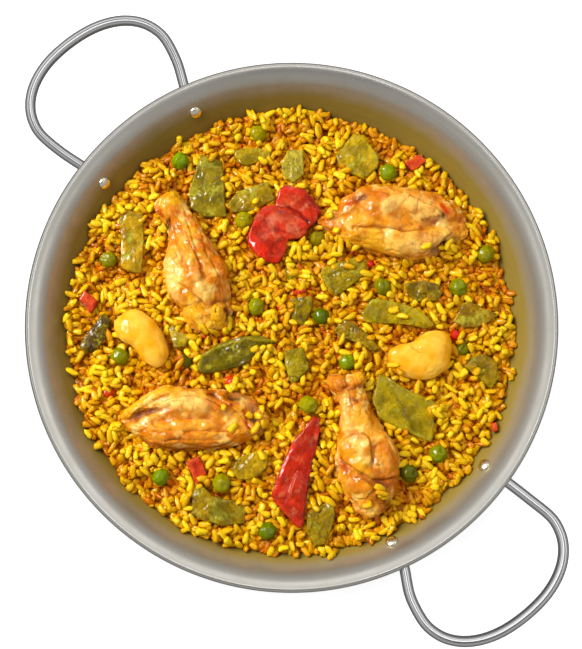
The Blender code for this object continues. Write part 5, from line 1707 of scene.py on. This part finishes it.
def make_rice(toppings, grain_coat, bed_coat, bit_coat):
    """The bed, the bits of red pepper and the grains, in a few pieces, round and over the toppings."""
    top, under = over_and_under(toppings)
    bed = bed_map(under)
    heights = np.fmax(bed, top)
    made = [make_bed(bed, bed_coat), make_small_bits(heights, np.isnan(top), bit_coat)]
    shapes = grain_shapes()
    places = [kept_inside(place, shapes) for place in lay_rice(heights, top)]
    for k in range(GRAIN_PIECES):
        grains = laid(f"rice_grains_{k + 1}", shapes, places[k::GRAIN_PIECES], grain_coat, 1.1 * MM, 5 * MM)
        lit_from_above(grains.data)
        finish(grains, "rice", "rice")
        made.append(grains)
    return made


def lit_from_above(mesh):
    """Paints a grain's shade paler on top and deeper amber down its sides: painted light from above and painted shade.
    """
    normals = np.empty(len(mesh.vertices) * 3)
    mesh.vertex_normals.foreach_get("vector", normals)
    shade = np.empty(len(mesh.vertices))
    layer = mesh.attributes["shade"]
    layer.data.foreach_get("value", shade)
    # Painted light and shade: paler where the grain faces up, deeper amber where it faces aside.
    shade += 0.26 * (normals[2::3] - 0.55)
    layer.data.foreach_set("value", np.clip(shade, 0, 1))


def make_small_bits(heights, open_rice, coat):
    """Small bits of red pepper in the rice, and flecks of it all over."""
    draw = random.Random(17)
    ends = (-0.5, 0.5)
    cube = np.array([(x, y, z) for x in ends for y in ends for z in ends])
    quads = [(0, 1, 3, 2), (4, 6, 7, 5), (0, 4, 5, 1), (2, 3, 7, 6), (0, 2, 6, 4), (1, 5, 7, 3)]
    places = []

    def bit(x, y, size, sink):
        level = looked_up(heights, x, y)
        tone = between(PALETTE["scarlet"], PALETTE["coral"], draw.random())
        places.append({
            "at": (x, y, level + sink), "turn": [draw.uniform(-0.5, 0.5), draw.uniform(-0.5, 0.5), draw.uniform(0, 3)],
            "size": [size * draw.uniform(0.7, 1), size * draw.uniform(0.5, 0.8), size * 0.5], "pick": 0,
            "tone": (*tone, 1),
        })

    for (x, y), (_, size) in zip(spots([pixel for pixel, _ in SMALL_DICE]), SMALL_DICE):
        bit(x, y, size, BED_DROP - 0.5 * MM)
    for _ in range(FLECKS):
        turn = math.tau * draw.random()
        radius = FLECK_REACH * math.sqrt(draw.random())
        x, y = radius * math.cos(turn), radius * math.sin(turn)
        if looked_up(open_rice, x, y):
            bit(x, y, draw.uniform(1.4, 2.8) * MM, BED_DROP)
    shapes = [(cube, quads)]
    places = [kept_inside(place, shapes) for place in places]
    bits = laid("red_bits", shapes, places, coat, 0.8 * MM, 4 * MM)
    finish(bits, "red_pepper")
    return bits


# ---------------------------------------------------------------- camera, floor and light

FLOOR_REACH = 3
FLOOR_DROP = 0.0005
FLOOR_CORNERS = ((-1, -1), (1, -1), (1, 1), (-1, 1))
STUDIO_SIDES = (-0.64, 0.2)  # how far a direction turns to the bright side while the glow above comes up
STUDIO_AROUND = ((0.0, 0.14), (0.5, 0.24), (0.71, 0.57), (0.88, 0.4), (0.95, 0.15), (1.0, 0.05))
STUDIO_ABOVE = ((0.0, 0.0), (0.79, 0.0), (0.87, 1.35), (0.93, 0.5), (1.0, 0.0))


def make_camera():
    """The photograph's camera."""
    data = bpy.data.cameras.new("camera")
    data.sensor_fit = "HORIZONTAL"
    data.sensor_width = SENSOR_WIDTH
    data.lens = SENSOR_WIDTH * FOCAL_PIXELS / PHOTO_WIDTH
    data.clip_end = FAR_LIMIT
    camera = bpy.data.objects.new("camera", data)
    right, up, back = camera_axes()
    place = Matrix((right, up, back)).transposed().to_4x4()
    place.translation = camera_eye()
    camera.matrix_world = place
    bpy.context.scene.collection.objects.link(camera)
    bpy.context.scene.camera = camera


def make_floor():
    """A pale floor, which polished steel doesn't mirror."""
    made, tree, shader = new_material("pale_floor", Roughness=0.9, Emission_Color=(1, 1, 1, 1), Emission_Strength=0.65)
    tone = mixed(tree, noise_field(tree, 0.3), (0.9, 0.9, 0.9, 1), (0.92, 0.92, 0.92, 1))
    tree.links.new(tone, shader.inputs["Base Color"])
    mesh = bpy.data.meshes.new("floor")
    mesh.from_pydata([(FLOOR_REACH * x, FLOOR_REACH * y, 0) for x, y in FLOOR_CORNERS], [], [(0, 1, 2, 3)])
    mesh.materials.append(made)
    floor = bpy.data.objects.new("floor", mesh)
    floor.location.z = -FLOOR_DROP
    floor.visible_glossy = False
    bpy.context.scene.collection.objects.link(floor)
    return floor


def make_light(name, towards, distance, size, power, mirrored, reached):
    """A square soft light from a direction, mirrored in what it reaches or not. Returns it."""
    data = bpy.data.lights.new(name, "AREA")
    data.size = size
    data.energy = power
    light = bpy.data.objects.new(name, data)
    light.visible_glossy = mirrored
    direction = Vector(towards).normalized()
    light.location = direction * distance
    light.rotation_euler = direction.to_track_quat("Z", "Y").to_euler()
    group = bpy.data.collections.new(f"{name}_reaches")
    for piece in reached:
        group.objects.link(piece)
    light.light_linking.receiver_collection = group
    bpy.context.scene.collection.objects.link(light)
    return light


def make_world(bright_side):
    """A studio that is bright half way up on all sides but one, and dim overhead and below."""
    world = bpy.data.worlds.new("studio")
    world.use_nodes = True
    tree = world.node_tree
    direction = add(tree, "TexCoord").outputs["Generated"]
    height = add(tree, "SeparateXYZ", {"Vector": direction}).outputs["Z"]
    lifted = ranged(tree, height, -1.0, 1.0)
    around, above = (
        ramp_of(tree, lifted, [(place, (level, level, level)) for place, level in stops])
        for stops in (STUDIO_AROUND, STUDIO_ABOVE)
    )
    level = tuple(Vector((bright_side.x, bright_side.y, 0)).normalized())
    side = add(tree, "VectorMath", {0: direction, 1: level}, operation="DOT_PRODUCT").outputs["Value"]
    strength = reckoned(tree, "MULTIPLY_ADD", above, ranged(tree, side, *STUDIO_SIDES), around)
    tree.links.new(strength, tree.nodes["Background"].inputs["Strength"])
    tree.nodes["Background"].inputs["Color"].default_value = (1, 1, 1, 1)
    bpy.context.scene.world = world


def make_lights(floor, pan, rivets, handles, rest):
    """A window, its glow on the pan's oil, soft light, and what only wet things and only steel mirror."""
    right, up, _ = camera_axes()
    overhead = Vector((0, 0, 1))
    window = up * 0.5 - right * 1.1 + overhead
    make_light("window_light", window, 1.4, 0.66, 18.5, False, rest)
    make_light("wall_light", up * 0.75 - right * 0.95 + overhead, 1.4, 1.0, 66, False, [pan, rivets])
    make_light("fill_light", window, 1.4, 1.0, 3, False, [floor, *rest])
    make_light("overhead_light", up * 0.4 - right * 0.1 + overhead, 1.5, 1.2, 4, False, [floor, *rest])
    for mirrored in (
        make_light("glint_light", window, 1.2, 0.56, 29, True, [*rest, rivets]),
        make_light("sheet_light", up * 0.05 + overhead, 1.2, 0.5, 1.3, True, [pan, rivets, *handles]),
    ):
        mirrored.visible_diffuse = False
    make_world(up)
    bpy.context.scene.view_settings.view_transform = "Standard"


def main():
    make_camera()
    floor = make_floor()
    film = RICE_LEVEL + 3 * MM, RICE_LEVEL + 19 * MM
    pan = make_pan(steel("brushed_pan", (0.66, 0.64, 0.59), 0.27, 0.3 * MM, 0.012 * MM, (0.38, 0.27, 0.05), film))
    rivets = make_rivets(polished("worn_rivet", (0.8, 0.74, 0.56), 0.2))
    handles = make_handles(polished("handle_steel", (0.64, 0.64, 0.64), 0.13))
    skin, green, red, wax, pod = (food(name, *values) for name, values in FOOD_FINISHES.items())
    toppings = [
        make_peas("peas", PEAS, 0, pod, *(f"pea_{k:02d}" for k in range(1, len(PEAS) + 1))),
        make_peas("sunk_peas", SUNK_PEAS, 3 * MM, pod, "rice"), *make_butter_beans(wax),
    ]
    for number, (name, (groove, stations)) in enumerate(CHICKEN.items()):
        toppings.append(make_joint(name, groove, stations, skin, 31 + 16 * number))
    for number, (name, outline) in enumerate(REDS.items()):
        look = red, PALETTE["crimson"], PALETTE["coral"], PALETTE["rose"], RED_CRUMPLE
        toppings.append(
            make_slab(name, outline, RED_THICKNESS, RED_CROWN, *look, 171 + 11 * number, "red_pepper")
        )
    for number, (tone, outline) in enumerate(GREENS, 1):
        look = green, np.array(srgb(*tone)) * GREEN_TINT, PALETTE["lime"], PALETTE["sage"], GREEN_CRUMPLE
        toppings.append(make_slab(
            f"green_{number:02d}", outline, GREEN_THICKNESS, GREEN_CROWN, *look, 211 + 11 * number, "green_bean",
        ))
    for number, outline in enumerate(DICE, 1):
        toppings.append(make_dice(f"red_dice_{number}", outline, red, 501 + 8 * number))
    rice = make_rice(toppings, rice_material(), rice_bed_material(), red)
    make_lights(floor, pan, rivets, handles, [*toppings, *rice])


main()
